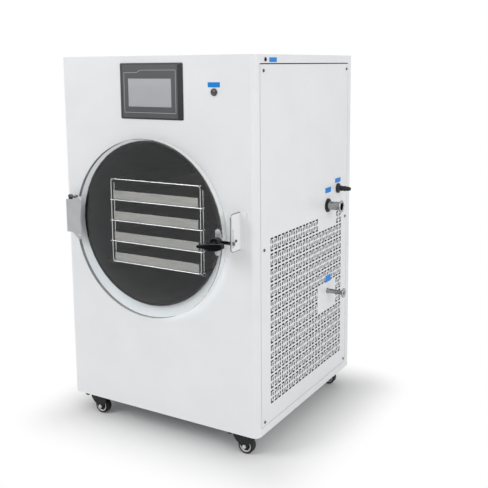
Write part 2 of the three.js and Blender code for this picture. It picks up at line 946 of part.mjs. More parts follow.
/** Outline of the leaf: a straight left edge, two ears and an inner edge that follows the door. */
function hingeLeafShape() {
  const inner = hingeEarRing - hingeEarRadius;
  const [upper, lower] = hingeScrews;
  const [upperAngle, lowerAngle] = hingeEarAngles;
  const waist = (hingeLeafLeft + lower.x) / 2;
  const shape = new THREE.Shape();
  shape.moveTo(hingeLeafLeft, hingeZ + hingeLeafHalf);
  shape.lineTo(hingeLeafLeft, hingeZ - hingeLeafHalf);
  shape.lineTo(waist, hingeZ - hingeLeafHalf);
  shape.absarc(lower.x, lower.y, hingeEarRadius, radians(leafShoulders[1]), radians(180 + lowerAngle), false);
  shape.absarc(doorX, doorZ, inner, radians(lowerAngle), radians(upperAngle), true);
  shape.absarc(upper.x, upper.y, hingeEarRadius, radians(upperAngle - 180), radians(leafShoulders[0]), false);
  shape.lineTo(waist, hingeZ + hingeLeafHalf);
  shape.closePath();
  return shape;
}

const leafFront = platesProud + hingeLeafThickness;
const pinY = frontFace - hingePinProud;
const lugTop = hingeBaseHalf - hingeLugInset;
const knuckleHalf = lugTop - hingeLugHeight - fit;

function hingeLeaf() {
  const plate = extrudeFront(hingeLeafShape(), platesProud, leafFront);
  const knuckle = bar(hingeKnuckle, hingeZ - knuckleHalf, hingeZ + knuckleHalf, 'z', turnedFacets);
  knuckle.translate(hingePinX, pinY, 0);
  const web = block(
    hingePinX - hingeKnuckle + seat, hingePinX + hingeKnuckle - seat, frontFace - platesProud - seat, pinY,
    hingeZ - knuckleHalf, hingeZ + knuckleHalf,
  );
  const bore = bar(hingePinRadius + fit, hingeZ - hingeBaseHalf, hingeZ + hingeBaseHalf, 'z', turnedFacets);
  bore.translate(hingePinX, pinY, 0);
  const screws = hingeScrews.flatMap((at) => clampScrew(at, leafFront));
  return cut(join([plate, knuckle, web, ...screws]), [bore]);
}

function hingeBase() {
  const plate = block(
    hingeBaseLeft, hingeBaseRight, frontFace - hingeBasePlate, frontFace,
    hingeZ - hingeBaseHalf, hingeZ + hingeBaseHalf,
  );
  const lugs = [lugTop - hingeLugHeight, -lugTop].flatMap((low) => {
    const z0 = hingeZ + low;
    const z1 = z0 + hingeLugHeight;
    const eye = bar(hingeKnuckle, z0, z1, 'z', turnedFacets).translate(hingePinX, pinY, 0);
    const web = block(
      hingePinX - hingeKnuckle, hingePinX + hingeKnuckle, pinY, frontFace - hingeBasePlate + seat, z0, z1,
    );
    return [eye, web];
  });
  const bore = bar(hingePinRadius + fit, hingeZ - hingeBaseHalf, hingeZ + hingeBaseHalf, 'z', turnedFacets);
  bore.translate(hingePinX, pinY, 0);
  return cut(join([plate, ...lugs]), [bore]);
}

function hingePin() {
  const top = hingeZ + lugTop + fit;
  const bottom = hingeZ - lugTop;
  const profile = [
    [0, bottom],
    [hingePinRadius, bottom],
    [hingePinRadius, top],
    [pinHeadRadius, top],
    [pinHeadRadius, top + pinHeadHeight],
    [0, top + pinHeadHeight],
  ];
  return turned(profile, 'z', smallFacets).translate(hingePinX, pinY, 0);
}

/** Outline of the latch plate: two ears joined past the boss that carries the shaft. */
function latchPlateShape() {
  const inner = latchEarRing - latchEarRadius;
  const [upper, lower] = latchScrews;
  const [upperAngle, lowerAngle] = latchEarAngles;
  const shape = new THREE.Shape();
  shape.absarc(doorX, doorZ, inner, radians(lowerAngle), radians(upperAngle), false);
  shape.absarc(upper.x, upper.y, latchEarRadius, radians(180 + upperAngle), radians(latchEarEnd), true);
  shape.absarc(latchX, latchZ, latchBossRadius, radians(latchBossArc[0]), radians(latchBossArc[1]), true);
  shape.absarc(lower.x, lower.y, latchEarRadius, radians(-latchEarEnd), radians(lowerAngle - 180), true);
  shape.closePath();
  return shape;
}

const latchPlateFront = platesProud + latchPlateThickness;
const tongueBack = latchPlateFront + fit;
const tongueFront = tongueBack + tongueThickness;
const hubBack = tongueFront + fit;
const leverRear = hubBack + hubLength;
const leverFront = leverRear + leverThickness;
const shaftFront = leverRear + leverThickness / 2;

function latchPlate() {
  const plate = extrudeFront(latchPlateShape(), platesProud, latchPlateFront);
  const at = new THREE.Vector2(latchX, latchZ);
  const bore = frontBar(
    at, latchShaftRadius + fit, platesProud - past, latchPlateFront + past, turnedFacets,
  );
  const screws = latchScrews.flatMap((screw) => clampScrew(screw, latchPlateFront));
  return cut(join([plate, ...screws]), [bore]);
}

function latchShaft() {
  const at = new THREE.Vector2(latchX, latchZ);
  const shaft = frontBar(at, latchShaftRadius, platesProud, shaftFront, turnedFacets);
  const collar = frontBar(at, collarRadius, tongueBack, tongueFront, turnedFacets);
  const shape = rectangle(latchX, latchX + tongueLength, latchZ - tongueHalf, latchZ + tongueHalf);
  const tongue = extrudeFront(shape, tongueBack, tongueFront);
  return join([shaft, collar, tongue]);
}

/** Side outline of the lever about its pivot: a thin tip to the left, a deep palm under the hub. */
function leverShape() {
  const tip = -leverTip + leverCorner;
  const heel = leverHeel - leverCorner;
  const middle = (leverShoulder + leverEnd) / 2;
  const shape = new THREE.Shape();
  shape.moveTo(tip, -leverShoulder);
  shape.quadraticCurveTo(-leverTip - leverCorner / 2, -middle, tip, -leverEnd);
  shape.quadraticCurveTo(tip / 2, -leverEnd, -leverTip / 5, -leverBelly + leverCorner / 3);
  shape.quadraticCurveTo(leverHeel / 4, -leverBelly, heel, -leverEnd + leverCorner / 2);
  shape.quadraticCurveTo(leverHeel, -leverEnd + leverCorner, leverHeel, -leverShoulder);
  shape.lineTo(leverHeel, -leverCorner / 2);
  shape.quadraticCurveTo(leverHeel, leverBack, heel, leverBack);
  shape.quadraticCurveTo(0, leverBack, tip, -leverShoulder);
  return shape;
}

function latchLever() {
  const at = new THREE.Vector2(latchX, latchZ);
  const hub = frontBar(at, hubRadius, hubBack, leverRear + seat, turnedFacets);
  const grip = extrudeFront(leverShape(), leverRear, leverFront, 5).translate(latchX, 0, latchZ);
  const bore = frontBar(at, latchShaftRadius + fit, hubBack - past, shaftFront + fit, turnedFacets);
  return cut(join([hub, grip]), [bore]);
}

/** The strike: a fin with a window that the tongue turns into, on a foot fixed to the front. */
function strikeBracket() {
  const front = frontFace - strikeProud;
  const corner = strikeCorner;
  const fin = new THREE.Shape();
  fin.moveTo(frontFace, strikeBottom);
  fin.lineTo(frontFace, strikeTop);
  fin.lineTo(front + corner, strikeTop);
  fin.absarc(front + corner, strikeTop - corner, corner, Math.PI / 2, Math.PI, false);
  fin.lineTo(front, strikeBottom + corner);
  fin.absarc(front + corner, strikeBottom + corner, corner, Math.PI, 1.5 * Math.PI, false);
  fin.closePath();
  fin.holes.push(rectangle(front + strikeBar, frontFace - windowBack, windowBottom, windowTop, THREE.Path));
  const upright = extrudeSide(fin, strikeX, strikeX + strikeThickness);
  const foot = block(
    strikeX + seat, strikeX + strikeFoot,
    frontFace - strikeFootThickness, frontFace,
    strikeBottom, strikeTop,
  );
  return join([upright, foot]);
}

place('door_disc', doorDisc(), acrylic);
place('hinge_leaf', hingeLeaf(), aluminium);
place('hinge_base', hingeBase(), aluminium);
place('hinge_pin', hingePin(), blackPaint);
place('latch_plate', latchPlate(), aluminium);
place('latch_shaft', latchShaft(), steel);
place('latch_lever', latchLever(), blackPlastic);
place('strike_bracket', strikeBracket(), paint);

// ---- Touch panel, key switch and control box -------------------------------------------------

function touchPanel() {
  const x = bezelWidth / 2;
  const z = bezelHeight / 2;
  const bevel = bezelBevel;
  const slab = new THREE.ExtrudeGeometry(rectangle(-x + bevel, x - bevel, -z + bevel, z - bevel), {
    depth: bezelProud - bevel,
    bevelThickness: bevel,
    bevelSize: bevel,
    bevelSegments: 1,
  });
  slab.applyMatrix4(frontBasis).translate(panelX, frontFace, panelZ);
  const inset = housingMargin;
  const back = block(
    panelX - x + inset, panelX + x - inset, frontFace - seat, frontFace + housingDepth,
    panelZ - z + inset, panelZ + z - inset,
  );
  const behind = block(
    -halfWidth, halfWidth, frontFace, frontFace + past + bevel, panelZ - z - past, panelZ + z + past,
  );
  const well = block(
    screenX - screenWidth / 2 - fit, screenX + screenWidth / 2 + fit,
    frontFace - bezelProud - past, frontFace - bezelProud + screenSunk + screenThickness + fit,
    screenZ - screenHeight / 2 - fit, screenZ + screenHeight / 2 + fit,
  );
  return cut(join([cut(slab, [behind]), back]), [well]);
}

function touchScreen() {
  const front = frontFace - bezelProud + screenSunk;
  return block(
    screenX - screenWidth / 2, screenX + screenWidth / 2, front, front + screenThickness,
    screenZ - screenHeight / 2, screenZ + screenHeight / 2,
  );
}

const keyAt = new THREE.Vector2(keyX, keyZ);

function keySwitchBody() {
  const flange = frontBar(keyAt, keyFlange, 0, keyFlangeProud, turnedFacets);
  const barrel = frontBar(keyAt, keyBarrel, -keyBarrelLength, seat, turnedFacets);
  const boreEnd = keyFlangeProud - keyPlugLength - fit;
  const bore = frontBar(keyAt, keyPlug + fit, boreEnd, keyFlangeProud + past, turnedFacets);
  return cut(join([flange, barrel]), [bore]);
}

function keySwitchPlug() {
  const plug = frontBar(keyAt, keyPlug, keyFlangeProud - keyPlugLength, keyFlangeProud, turnedFacets);
  const half = keySlotWidth / 2;
  const face = frontFace - keyFlangeProud;
  const slot = block(-keyPlug + seat, keyPlug - seat, face - past, face + keySlotDepth, -half, half);
  slot.rotateY(radians(keySlotAngle)).translate(keyX, 0, keyZ);
  return cut(plug, [slot]);
}

/** The electrical box under the roof, a sheet housing with a cable slot in its floor. */
function controlBox() {
  const top = cabinetTop - sheet;
  const bottom = top - controlHeight;
  const half = controlWidth / 2;
  const rear = controlFront + controlDepth;
  const wall = controlWall;
  const housing = block(-half, half, controlFront, rear, bottom, top);
  const hollow = block(
    -half + wall, half - wall, controlFront + wall, rear - wall, bottom + wall, top - wall,
  );
  const slot = block(
    -cableSlotLength / 2, cableSlotLength / 2, rear - wall - cableSlotWidth, rear - wall,
    bottom - past, bottom + 2 * wall,
  );
  return cut(housing, [hollow, slot]);
}

place('touch_panel', touchPanel(), darkPlastic);
place('touch_screen', touchScreen(), screenGlass);
place('key_switch_body', keySwitchBody(), steel);
place('key_switch_plug', keySwitchPlug(), steel);
place('control_box', controlBox(), zinc);

// ---- Ports -----------------------------------------------------------------------------------

/** Where a port at a height meets the inside of the chamber's wall, on its right. */
function chamberWallX(z, radius) {
  const drop = Math.abs(z - chamberZ) + radius;
  return chamberX + Math.sqrt(chamberRadius ** 2 - drop ** 2);
}

function vacuumPort() {
  const start = chamberWallX(vacuumZ, vacuumPipe);
  const end = sideFace + vacuumReach;
  const inner = vacuumPipe - vacuumWall;
  const profile = [
    [inner, start],
    [vacuumPipe, start],
    [vacuumPipe, end - vacuumFlangeThickness],
    [vacuumFlange, end - vacuumFlangeThickness],
    [vacuumFlange, end],
    [inner, end],
    [inner, start],
  ];
  return turned(profile, 'x', turnedFacets).translate(0, vacuumY, vacuumZ);
}

function vacuumGrommet() {
  const inner = vacuumPipe + fit;
  const inside = sideFace - sheet;
  const profile = [
    [inner, inside - grommetLip],
    [grommetOuter, inside - grommetLip],
    [grommetOuter, inside],
    [grommetNeck, inside],
    [grommetNeck, sideFace],
    [grommetOuter, sideFace],
    [grommetOuter, sideFace + grommetLip],
    [inner, sideFace + grommetLip],
    [inner, inside - grommetLip],
  ];
  return turned(profile, 'x', turnedFacets).translate(0, vacuumY, vacuumZ);
}

function drainPort() {
  const end = sideFace + drainReach;
  const corner = vector(chamberX, drainY, drainZ);
  const drop = bar(drainPipe, drainZ, chamberZ - chamberRadius - fit, 'z', smallFacets);
  const run = bar(drainPipe, chamberX, end - seat, 'x', smallFacets);
  const elbow = new THREE.SphereGeometry(drainPipe, smallFacets, smallFacets / 2);
  const cone = turned([
    [0, end - drainCone],
    [drainPipe, end - drainCone],
    [drainFlange, end - drainCone / 3],
    [drainFlange, end],
    [0, end],
  ], 'x', turnedFacets);
  const bore = bar(drainBore, end - drainBoreDepth, end + past, 'x', smallFacets);
  return cut(join([
    drop.translate(corner.x, corner.y, 0),
    run.translate(0, corner.y, corner.z),
    elbow.translate(...corner),
    cone.translate(0, corner.y, corner.z),
  ]), [bore.translate(0, corner.y, corner.z)]);
}

/** A hose nozzle with a threaded stub through the panel, a cone and two barbs. */
function ventNozzle() {
  const neck = nozzleReach / 2;
  const profile = [
    [nozzleBore, -nozzleStubLength],
    [nozzleStub, -nozzleStubLength],
    [nozzleStub, 0],
    [nozzleBase, 0],
    [nozzleBase, nozzleBaseThickness - nozzleChamfer],
    [nozzleBase - 2 * nozzleChamfer, nozzleBaseThickness],
    [nozzleStub, neck],
    [nozzleStub + barbRise, neck + 3 * barbRise],
    [nozzleStub - 2 * barbRise, neck + 3 * barbRise + barbLength],
    [nozzleStub, neck + 3 * barbRise + barbLength],
    [nozzleStub - 3 * barbRise, nozzleReach],
    [nozzleBore, nozzleReach],
    [nozzleBore, -nozzleStubLength],
  ];
  return turned(profile, 'x', smallFacets).translate(sideFace, nozzleY, nozzleZ);
}

function ventPipeRun() {
  const start = chamberWallX(nozzleZ, ventPipe);
  const end = sideFace - nozzleStubLength - fit;
  const geometry = ring(nozzleBore, ventPipe, start, end, 'x', smallFacets);
  return geometry.translate(0, nozzleY, nozzleZ);
}

function panelSocket() {
  const neck = socketRadius - socketLip;
  const profile = [
    [0, -socketDepth],
    [neck, -socketDepth],
    [neck, 0],
    [socketRadius, 0],
    [socketRadius, socketProud],
    [socketBore, socketProud],
    [socketBore, socketProud - socketDepth / 2],
    [0, socketProud - socketDepth / 2],
  ];
  return turned(profile, 'x', turnedFacets).translate(sideFace, socketY, socketZ);
}

function powerGland() {
  const face = halfDepth;
  const nut = bar(glandNut, face, face + glandNutLength, 'y', 6);
  const dome = bar(glandDome, face + seat, face + glandNutLength + glandDomeLength, 'y', smallFacets);
  const thread = bar(glandThread, face - glandThreadLength, face + seat, 'y', turnedFacets);
  const inner = face - glandThreadLength - past;
  const bore = bar(glandBore, inner, face + glandNutLength + glandDomeLength + past, 'y', smallFacets);
  return cut(join([nut, dome, thread]), [bore]).translate(glandX, 0, glandZ);
}

place('vacuum_pipe', vacuumPort(), steel);
place('vacuum_grommet', vacuumGrommet(), rubber);
place('drain_pipe', drainPort(), steel);
place('vent_nozzle', ventNozzle(), blackPlastic);
place('vent_pipe', ventPipeRun(), copper);
place('panel_socket', panelSocket(), blackPlastic);
place('power_gland', powerGland(), blackPlastic);

// ---- Refrigeration unit ----------------------------------------------------------------------

const compressorY = coilRear;
const compressorBottom = baseTop + compressorGrommetHeight;
const compressorTop = compressorBottom + compressorHeight;
const condenserTop = baseTop + condenserHeight;
const fanZ = baseTop + condenserHeight / 2;
const shroudX = condenserX - condenserThickness / 2 - shroudDepth;
const fanBack = shroudX - fanSetback - fanDepth / 2;

function compressor() {
  const soft = compressorRound * (1 - Math.SQRT1_2);
  const radius = compressorRadius;
  const shell = turned([
    [0, compressorBottom],
    [radius - compressorRound, compressorBottom],
    [radius - soft, compressorBottom + soft],
    [radius, compressorBottom + compressorRound],
    [radius, compressorTop - compressorRound],
    [radius - soft, compressorTop - soft],
    [radius - compressorRound, compressorTop],
    [0, compressorTop],
  ], 'z', turnedFacets);
  const half = compressorFoot / 2;
  const plate = block(
    -half, half, -half, half, compressorBottom - seat, compressorBottom - seat + compressorFootThickness,
  );
  const corner = half - compressorGrommet;
  const grommets = [[1, 1], [1, -1], [-1, 1], [-1, -1]].map(([sx, sy]) => {
    const grommet = bar(compressorGrommet, baseTop, compressorBottom, 'z', smallFacets);
    return grommet.translate(sx * corner, sy * corner, 0);
  });
  return join([shell, plate, ...grommets]).translate(compressorX, compressorY, 0);
}

/** The fin block, seen from above as a comb with its fins to the right. */
function condenser() {
  const left = condenserX - condenserThickness / 2;
  const right = condenserX + condenserThickness / 2;
  const front = condenserY - condenserWidth / 2;
  const rear = condenserY + condenserWidth / 2;
  const pitch = condenserWidth / (condenserGrooves + 1);
  const shape = new THREE.Shape();
  shape.moveTo(left, rear);
  shape.lineTo(left, front);
  shape.lineTo(right, front);
  for (let i = 1; i <= condenserGrooves; i += 1) {
    const y = front + i * pitch;
    shape.lineTo(right, y - condenserGroove / 2);
    shape.lineTo(right - condenserGrooveDepth, y - condenserGroove / 2);
    shape.lineTo(right - condenserGrooveDepth, y + condenserGroove / 2);
    shape.lineTo(right, y + condenserGroove / 2);
  }
  shape.lineTo(right, rear);
  shape.closePath();
  return extrudeUp(shape, baseTop, condenserTop);
}

function fanShroud() {
  const rear = condenserX - condenserThickness / 2;
  const y0 = condenserY - condenserWidth / 2;
  const y1 = condenserY + condenserWidth / 2;
  const wall = shroudWall;
  const throat = fanRadius + fanTipGap;
  const body = block(shroudX, rear, y0, y1, baseTop, condenserTop);
  const hollow = block(
    shroudX + wall, rear + past, y0 + wall, y1 - wall, baseTop + wall, condenserTop - wall,
  );
  const lip = bar(throat + wall, shroudX - shroudPlateMargin, shroudX + seat, 'x', round);
  const hole = bar(throat, shroudX - shroudPlateMargin - past, rear + past, 'x', round);
  return cut(join([cut(body, [hollow]), lip.translate(0, condenserY, fanZ)]), [
    hole.translate(0, condenserY, fanZ),
  ]);
}

function fanMotor() {
  const front = fanBack - past;
  const can = bar(motorRadius, front - motorLength, front, 'x', turnedFacets);
  can.translate(0, condenserY, fanZ);
  const shaft = bar(motorShaft, front - seat, front + motorShaftLength, 'x', smallFacets);
  shaft.translate(0, condenserY, fanZ);
  const foot = block(
    front - motorLength + motorFootInset, front - motorFootInset,
    condenserY - motorFootWidth / 2, condenserY + motorFootWidth / 2, baseTop, fanZ - motorRadius / 2,
  );
  return join([can, shaft, foot]);
}

function condenserFan() {
  const hub = bar(fanHub, 0, fanDepth, 'x', turnedFacets);
  const chord = (fanDepth - fanBladeThickness) / Math.sin(radians(fanPitch));
  const root = fanHub - 2 * seat;
  const blades = [];
  for (let i = 0; i < fanBlades; i += 1) {
    const blade = new THREE.BoxGeometry(fanBladeThickness, chord, fanRadius - root);
    blade.rotateZ(radians(90 - fanPitch) - Math.PI / 2);
    blade.translate(fanDepth / 2, 0, (fanRadius + root) / 2);
    blade.rotateX((2 * Math.PI * i) / fanBlades);
    blades.push(blade);
  }
  const bore = bar(motorShaft + fit, -past, motorShaftLength - past + fit, 'x', smallFacets);
  return cut(join([hub, ...blades]), [bore]).translate(fanBack, condenserY, fanZ);
}

const liquidPipe = () => pipe([
  vector(condenserX, condenserY - condenserWidth / 2 - fit, liquidRun),
  vector(condenserX, coilFront, liquidRun),
  vector(chamberX, coilFront, liquidRun),
  liquidDrop(),
], gasPipe);

const suctionPipe = () => pipe([
  suctionDrop(),
  vector(chamberX, coilRear, suctionHeight),
  vector(compressorX + compressorRadius + fit, compressorY, suctionHeight),
], gasPipe);

const dischargePipe = () => pipe([
  vector(compressorX, compressorY - dischargeOffset, compressorTop + fit),
  vector(compressorX, compressorY - dischargeOffset, compressorTop + dischargeRise),
  vector(condenserX, compressorY - dischargeOffset, compressorTop + dischargeRise),
  vector(condenserX, compressorY - dischargeOffset, condenserTop + fit),
], gasPipe);

place('compressor', compressor(), blackPaint);
place('condenser', condenser(), aluminium);
place('fan_shroud', fanShroud(), zinc);
place('fan_motor', fanMotor(), zinc);
place('condenser_fan', condenserFan(), blackPlastic);
place('liquid_pipe', liquidPipe(), copper);
place('suction_pipe', suctionPipe(), copper);
place('discharge_pipe', dischargePipe(), copper);

// ---- Casters ---------------------------------------------------------------------------------

const wheelZ = wheelRadius;
const crownBottom = 2 * wheelRadius + wheelTopGap;
const crownTop = crownBottom + forkThickness;
const legInner = wheelWidth / 2 + forkSideGap;
const legOuter = legInner + forkThickness;

/** The fixed top of a caster: plate with four dome bolts, raceway and kingpin. */
function casterPlate() {
  const top = baseUnder;
  const under = top - casterPlateThickness;
  const x = casterPlateWidth / 2;
  const y = casterPlateDepth / 2;
  const plate = block(-x, x, -y, y, under, top);
  const raceway = bar(racewayRadius, crownTop + fit, under + seat, 'z', smallFacets);
  const headTop = crownBottom - fit;
  const pin = bar(kingpin, headTop - seat, crownTop + 2 * seat, 'z', smallFacets);
  const head = bar(kingpinHead, headTop - kingpinHeadHeight, headTop, 'z', smallFacets);
  const bolts = [[1, 1], [1, -1], [-1, 1], [-1, -1]].map(([sx, sy]) => {
    const low = under - casterBoltHeight;
    const bolt = turned([
      [0, low],
      [casterBoltCrown, low + casterBoltTip],
      [casterBoltRadius, low + casterBoltRadius / 2],
      [casterBoltRadius, under + seat],
      [0, under + seat],
    ], 'z', boltFacets);
    return bolt.translate(sx * casterBoltX, sy * casterBoltY, 0);
  });
  return join([plate, raceway, pin, head, ...bolts]);
}

/** The swivelling fork with its axle; the front pair also carries the brake's pin. */
function casterFork(braked) {
  const crown = bar(forkCrown, crownBottom, crownTop, 'z', smallFacets);
  const reach = wheelTrail + forkCrown;
  const hood = block(0, reach, -legOuter, legOuter, crownBottom, crownTop);
  const side = new THREE.Shape();
  side.moveTo(reach, crownTop);
  side.lineTo(-forkCrown, crownTop);
  side.lineTo(-forkCrown, crownBottom - wheelTopGap);
  side.lineTo(-forkCrown / 2, wheelZ + wheelRadius / 2);
  side.absarc(wheelTrail, wheelZ, forkEye, radians(forkEyeArc[0]), radians(forkEyeArc[1]), false);
  side.lineTo(reach + wheelTopGap, crownBottom - 2 * wheelTopGap);
  side.closePath();
  const frontLeg = extruded(side, forkThickness, 5).applyMatrix4(frontBasis).translate(0, -legInner, 0);
  const rearLeg = extruded(side, forkThickness, 5).applyMatrix4(frontBasis).translate(0, legOuter, 0);
  const nut = legOuter + axleNutHeight;
  const axle = bar(axleRadius, -nut, nut, 'y', smallFacets).translate(wheelTrail, 0, wheelZ);
  const frontNut = bar(axleNut, -nut, -legOuter + seat, 'y', 6).translate(wheelTrail, 0, wheelZ);
  const rearNut = bar(axleNut, legOuter - seat, nut, 'y', 6).translate(wheelTrail, 0, wheelZ);
  const pieces = [crown, hood, frontLeg, rearLeg, axle, frontNut, rearNut];
  if (braked) {
    const pin = bar(brakePin, -legOuter, legOuter, 'y', smallFacets);
    pieces.push(pin.translate(wheelTrail + brakePivotX, 0, wheelZ + brakePivotZ));
  }
  const bore = bar(kingpin + fit, crownBottom - past, crownTop + past, 'z', smallFacets);
  return cut(join(pieces), [bore]);
}

/** A wheel whose facets leave a flat under the axle. */
function casterWheel() {
  const half = wheelWidth / 2;
  const tread = wheelRadius / Math.cos(Math.PI / turnedFacets);
  const shoulder = tread - wheelDish;
  const rim = tread - 2 * wheelDish;
  const dish = rim - wheelDish;
  const profile = [
    [wheelBore, -half + wheelDish],
    [dish, -half + wheelDish],
    [rim, -half],
    [shoulder, -half],
    [tread, -half + wheelEdge],
    [tread, half - wheelEdge],
    [shoulder, half],
    [rim, half],
    [dish, half - wheelDish],
    [wheelBore, half - wheelDish],
    [wheelBore, -half + wheelDish],
  ];
  const geometry = turned(profile, 'y', turnedFacets).rotateY(Math.PI / turnedFacets);
  return geometry.translate(wheelTrail, 0, wheelZ);
}

/** The rocker pedal: an eye on the pin, a tread pointing up and a shoe that nears the tyre. */
function brakePedal() {
  const pivot = new THREE.Vector2(brakePivotX, brakePivotZ);
  const half = brakeWidth / 2;
  const arms = [brakeTread, brakeShoe].map(([x, z]) => {
    const tip = new THREE.Vector2(x, z);
    const along = tip.clone().sub(pivot);
    const arm = new THREE.BoxGeometry(along.length(), brakeWidth, brakeArm);
    arm.translate(along.length() / 2, 0, 0).rotateY(-along.angle());
    return arm.translate(pivot.x, 0, pivot.y);
  });
  const eye = bar(brakeEye, -half, half, 'y', smallFacets).translate(pivot.x, 0, pivot.y);
  const bore = bar(brakePin + fit, -half - past, half + past, 'y', smallFacets);
  return cut(join([eye, ...arms]), [bore.translate(pivot.x, 0, pivot.y)]).translate(wheelTrail, 0, wheelZ);
}

const corners = [
  { name: 'front_left', x: -casterX, y: -casterY },
  { name: 'front_right', x: casterX, y: -casterY },
  { name: 'rear_left', x: -casterX, y: casterY },
  { name: 'rear_right', x: casterX, y: casterY },
];

for (const { name, x, y } of corners) {
  const caster = new THREE.Group();
  caster.position.set(x, y, 0);
  root.add(caster);
  const braked = name.startsWith('front');
  place(`caster_plate_${name}`, casterPlate(), zinc, caster);
  place(`caster_fork_${name}`, casterFork(braked), blackPaint, caster);
  place(`caster_wheel_${name}`, casterWheel(), rubber, caster);
  if (braked) place(`brake_pedal_${name}`, brakePedal(), blackPaint, caster);
}

// The origin goes to the middle of the underside of the bounding box.
root.updateMatrixWorld(true);
const bounds = new THREE.Box3().setFromObject(root);
const middle = bounds.getCenter(new THREE.Vector3());
root.position.set(-middle.x, -middle.y, -bounds.min.z);

export default root;
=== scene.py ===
# %% [markdown]
# # A freeze dryer, dressed
# A freeze dryer is a white sheet-metal cabinet on casters. Behind a thick clear door lies a round
# vacuum chamber, where frozen trays give up their water as vapour. The machine's solids come from
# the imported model. This file gives them their finishes, and adds the fine pieces that solids leave
# out, such as the pattern of the vent slots. Lengths are in millimetres from the middle of the
# cabinet's footprint, because that is how a sheet-metal worker would measure them.

# %% Load the frame
import json
import math

import bmesh
import bpy
from mathutils import Matrix, Vector
from mathutils.geometry import delaunay_2d_cdt


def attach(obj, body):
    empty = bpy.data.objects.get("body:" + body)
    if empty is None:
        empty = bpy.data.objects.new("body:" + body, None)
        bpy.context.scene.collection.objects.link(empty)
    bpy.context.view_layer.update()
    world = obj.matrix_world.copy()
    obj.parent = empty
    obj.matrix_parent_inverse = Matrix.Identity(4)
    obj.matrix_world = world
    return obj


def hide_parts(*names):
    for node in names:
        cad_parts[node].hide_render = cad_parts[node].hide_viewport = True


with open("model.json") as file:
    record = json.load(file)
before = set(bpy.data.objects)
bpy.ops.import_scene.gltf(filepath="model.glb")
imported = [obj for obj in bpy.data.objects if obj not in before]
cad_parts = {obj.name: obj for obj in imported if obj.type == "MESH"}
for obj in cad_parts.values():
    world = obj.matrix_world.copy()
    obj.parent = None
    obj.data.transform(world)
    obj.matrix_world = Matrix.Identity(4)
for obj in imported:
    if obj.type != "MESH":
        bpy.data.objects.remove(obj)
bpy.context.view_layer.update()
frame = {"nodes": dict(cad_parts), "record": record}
cad_nodes = frame["nodes"]
MM = 0.001
CABINET_MIDDLE = Vector((-0.030, 0.0261, 0.0))
TO_ROW = Matrix.Translation(CABINET_MIDDLE) @ Matrix.Scale(MM, 4)
print("solids loaded:", len(cad_nodes))

# %% [markdown]
# ## Camera
# The machine is seen from its front right, a little above the door, so both the door and the
# vented side show. A camera could be aimed with a constraint. Here its turn and pitch are worked
# into one direction, because a plain rotation is easier to check. The lens shift moves the picture
# down without tilting the camera, so the uprights of the cabinet stay nearly parallel.

# %% Camera
CAMERA_PLACE = (1377, -2123, 1130)
CAMERA_TURN = 30.68
CAMERA_PITCH = 8.75
CAMERA_ROLL = -0.47
LENS = 56.8
LENS_SHIFT = -0.123

camera = bpy.data.objects.new("camera", bpy.data.cameras.new("camera"))
bpy.context.scene.collection.objects.link(camera)
camera.data.lens = LENS
camera.data.shift_y = LENS_SHIFT
turn = math.radians(CAMERA_TURN)
pitch = math.radians(CAMERA_PITCH)
ahead = Vector((-math.sin(turn) * math.cos(pitch), math.cos(turn) * math.cos(pitch), -math.sin(pitch)))
camera.rotation_mode = "QUATERNION"
camera.rotation_quaternion = ahead.to_track_quat("-Z", "Y")
camera.rotation_quaternion @= Matrix.Rotation(math.radians(CAMERA_ROLL), 4, "Z").to_quaternion()
camera.location = TO_ROW @ Vector(CAMERA_PLACE)
bpy.context.scene.camera = camera
bpy.context.scene.view_settings.view_transform = "Standard"
print("camera looks along", [round(part, 3) for part in ahead])

# %% [markdown]
# ## Places on the cabinet
# Most fine pieces sit on one of the cabinet's faces. It is easier to draw them flat, as on paper,
# and to say how far they stand out. These helpers turn such a drawing into a place in space: the
# first two numbers run across and up the face, and the third is the distance proud of it.

# %% Faces of the cabinet
HALF_WIDTH = 350
HALF_DEPTH = 325


def on_front(across, up, proud):
    return Vector((across, -HALF_DEPTH - proud, up))


def on_right(across, up, proud):
    return Vector((HALF_WIDTH + proud, across, up))


def on_left(across, up, proud):
    return Vector((-HALF_WIDTH - proud, across, up))


def on_rear(across, up, proud):
    return Vector((across, HALF_DEPTH + proud, up))


# %% [markdown]
# ## Ways of making metal shapes
# Real parts are made by a few processes: turning, cutting a flat outline, punching sheet and
# bending wire. Each has a helper below. Meshes could also be joined from ready-made primitives,
# but outlines keep the faces clean, so that the edges can be rounded afterwards.

# %% Outlines
def circle(radius, across=0.0, up=0.0, count=48):
    steps = [2 * math.pi * k / count for k in range(count)]
    return [(across + radius * math.cos(a), up + radius * math.sin(a)) for a in steps]


def rectangle(left, right, low, high):
    return [(left, low), (right, low), (right, high), (left, high)]


def rounded_rectangle(left, right, low, high, radius, count=5):
    corners = [
        (right - radius, low + radius, -90), (right - radius, high - radius, 0),
        (left + radius, high - radius, 90), (left + radius, low + radius, 180),
    ]
    points = []
    for x, z, start in corners:
        for k in range(count + 1):
            angle = math.radians(start + 90 * k / count)
            points.append((x + radius * math.cos(angle), z + radius * math.sin(angle)))
    return points


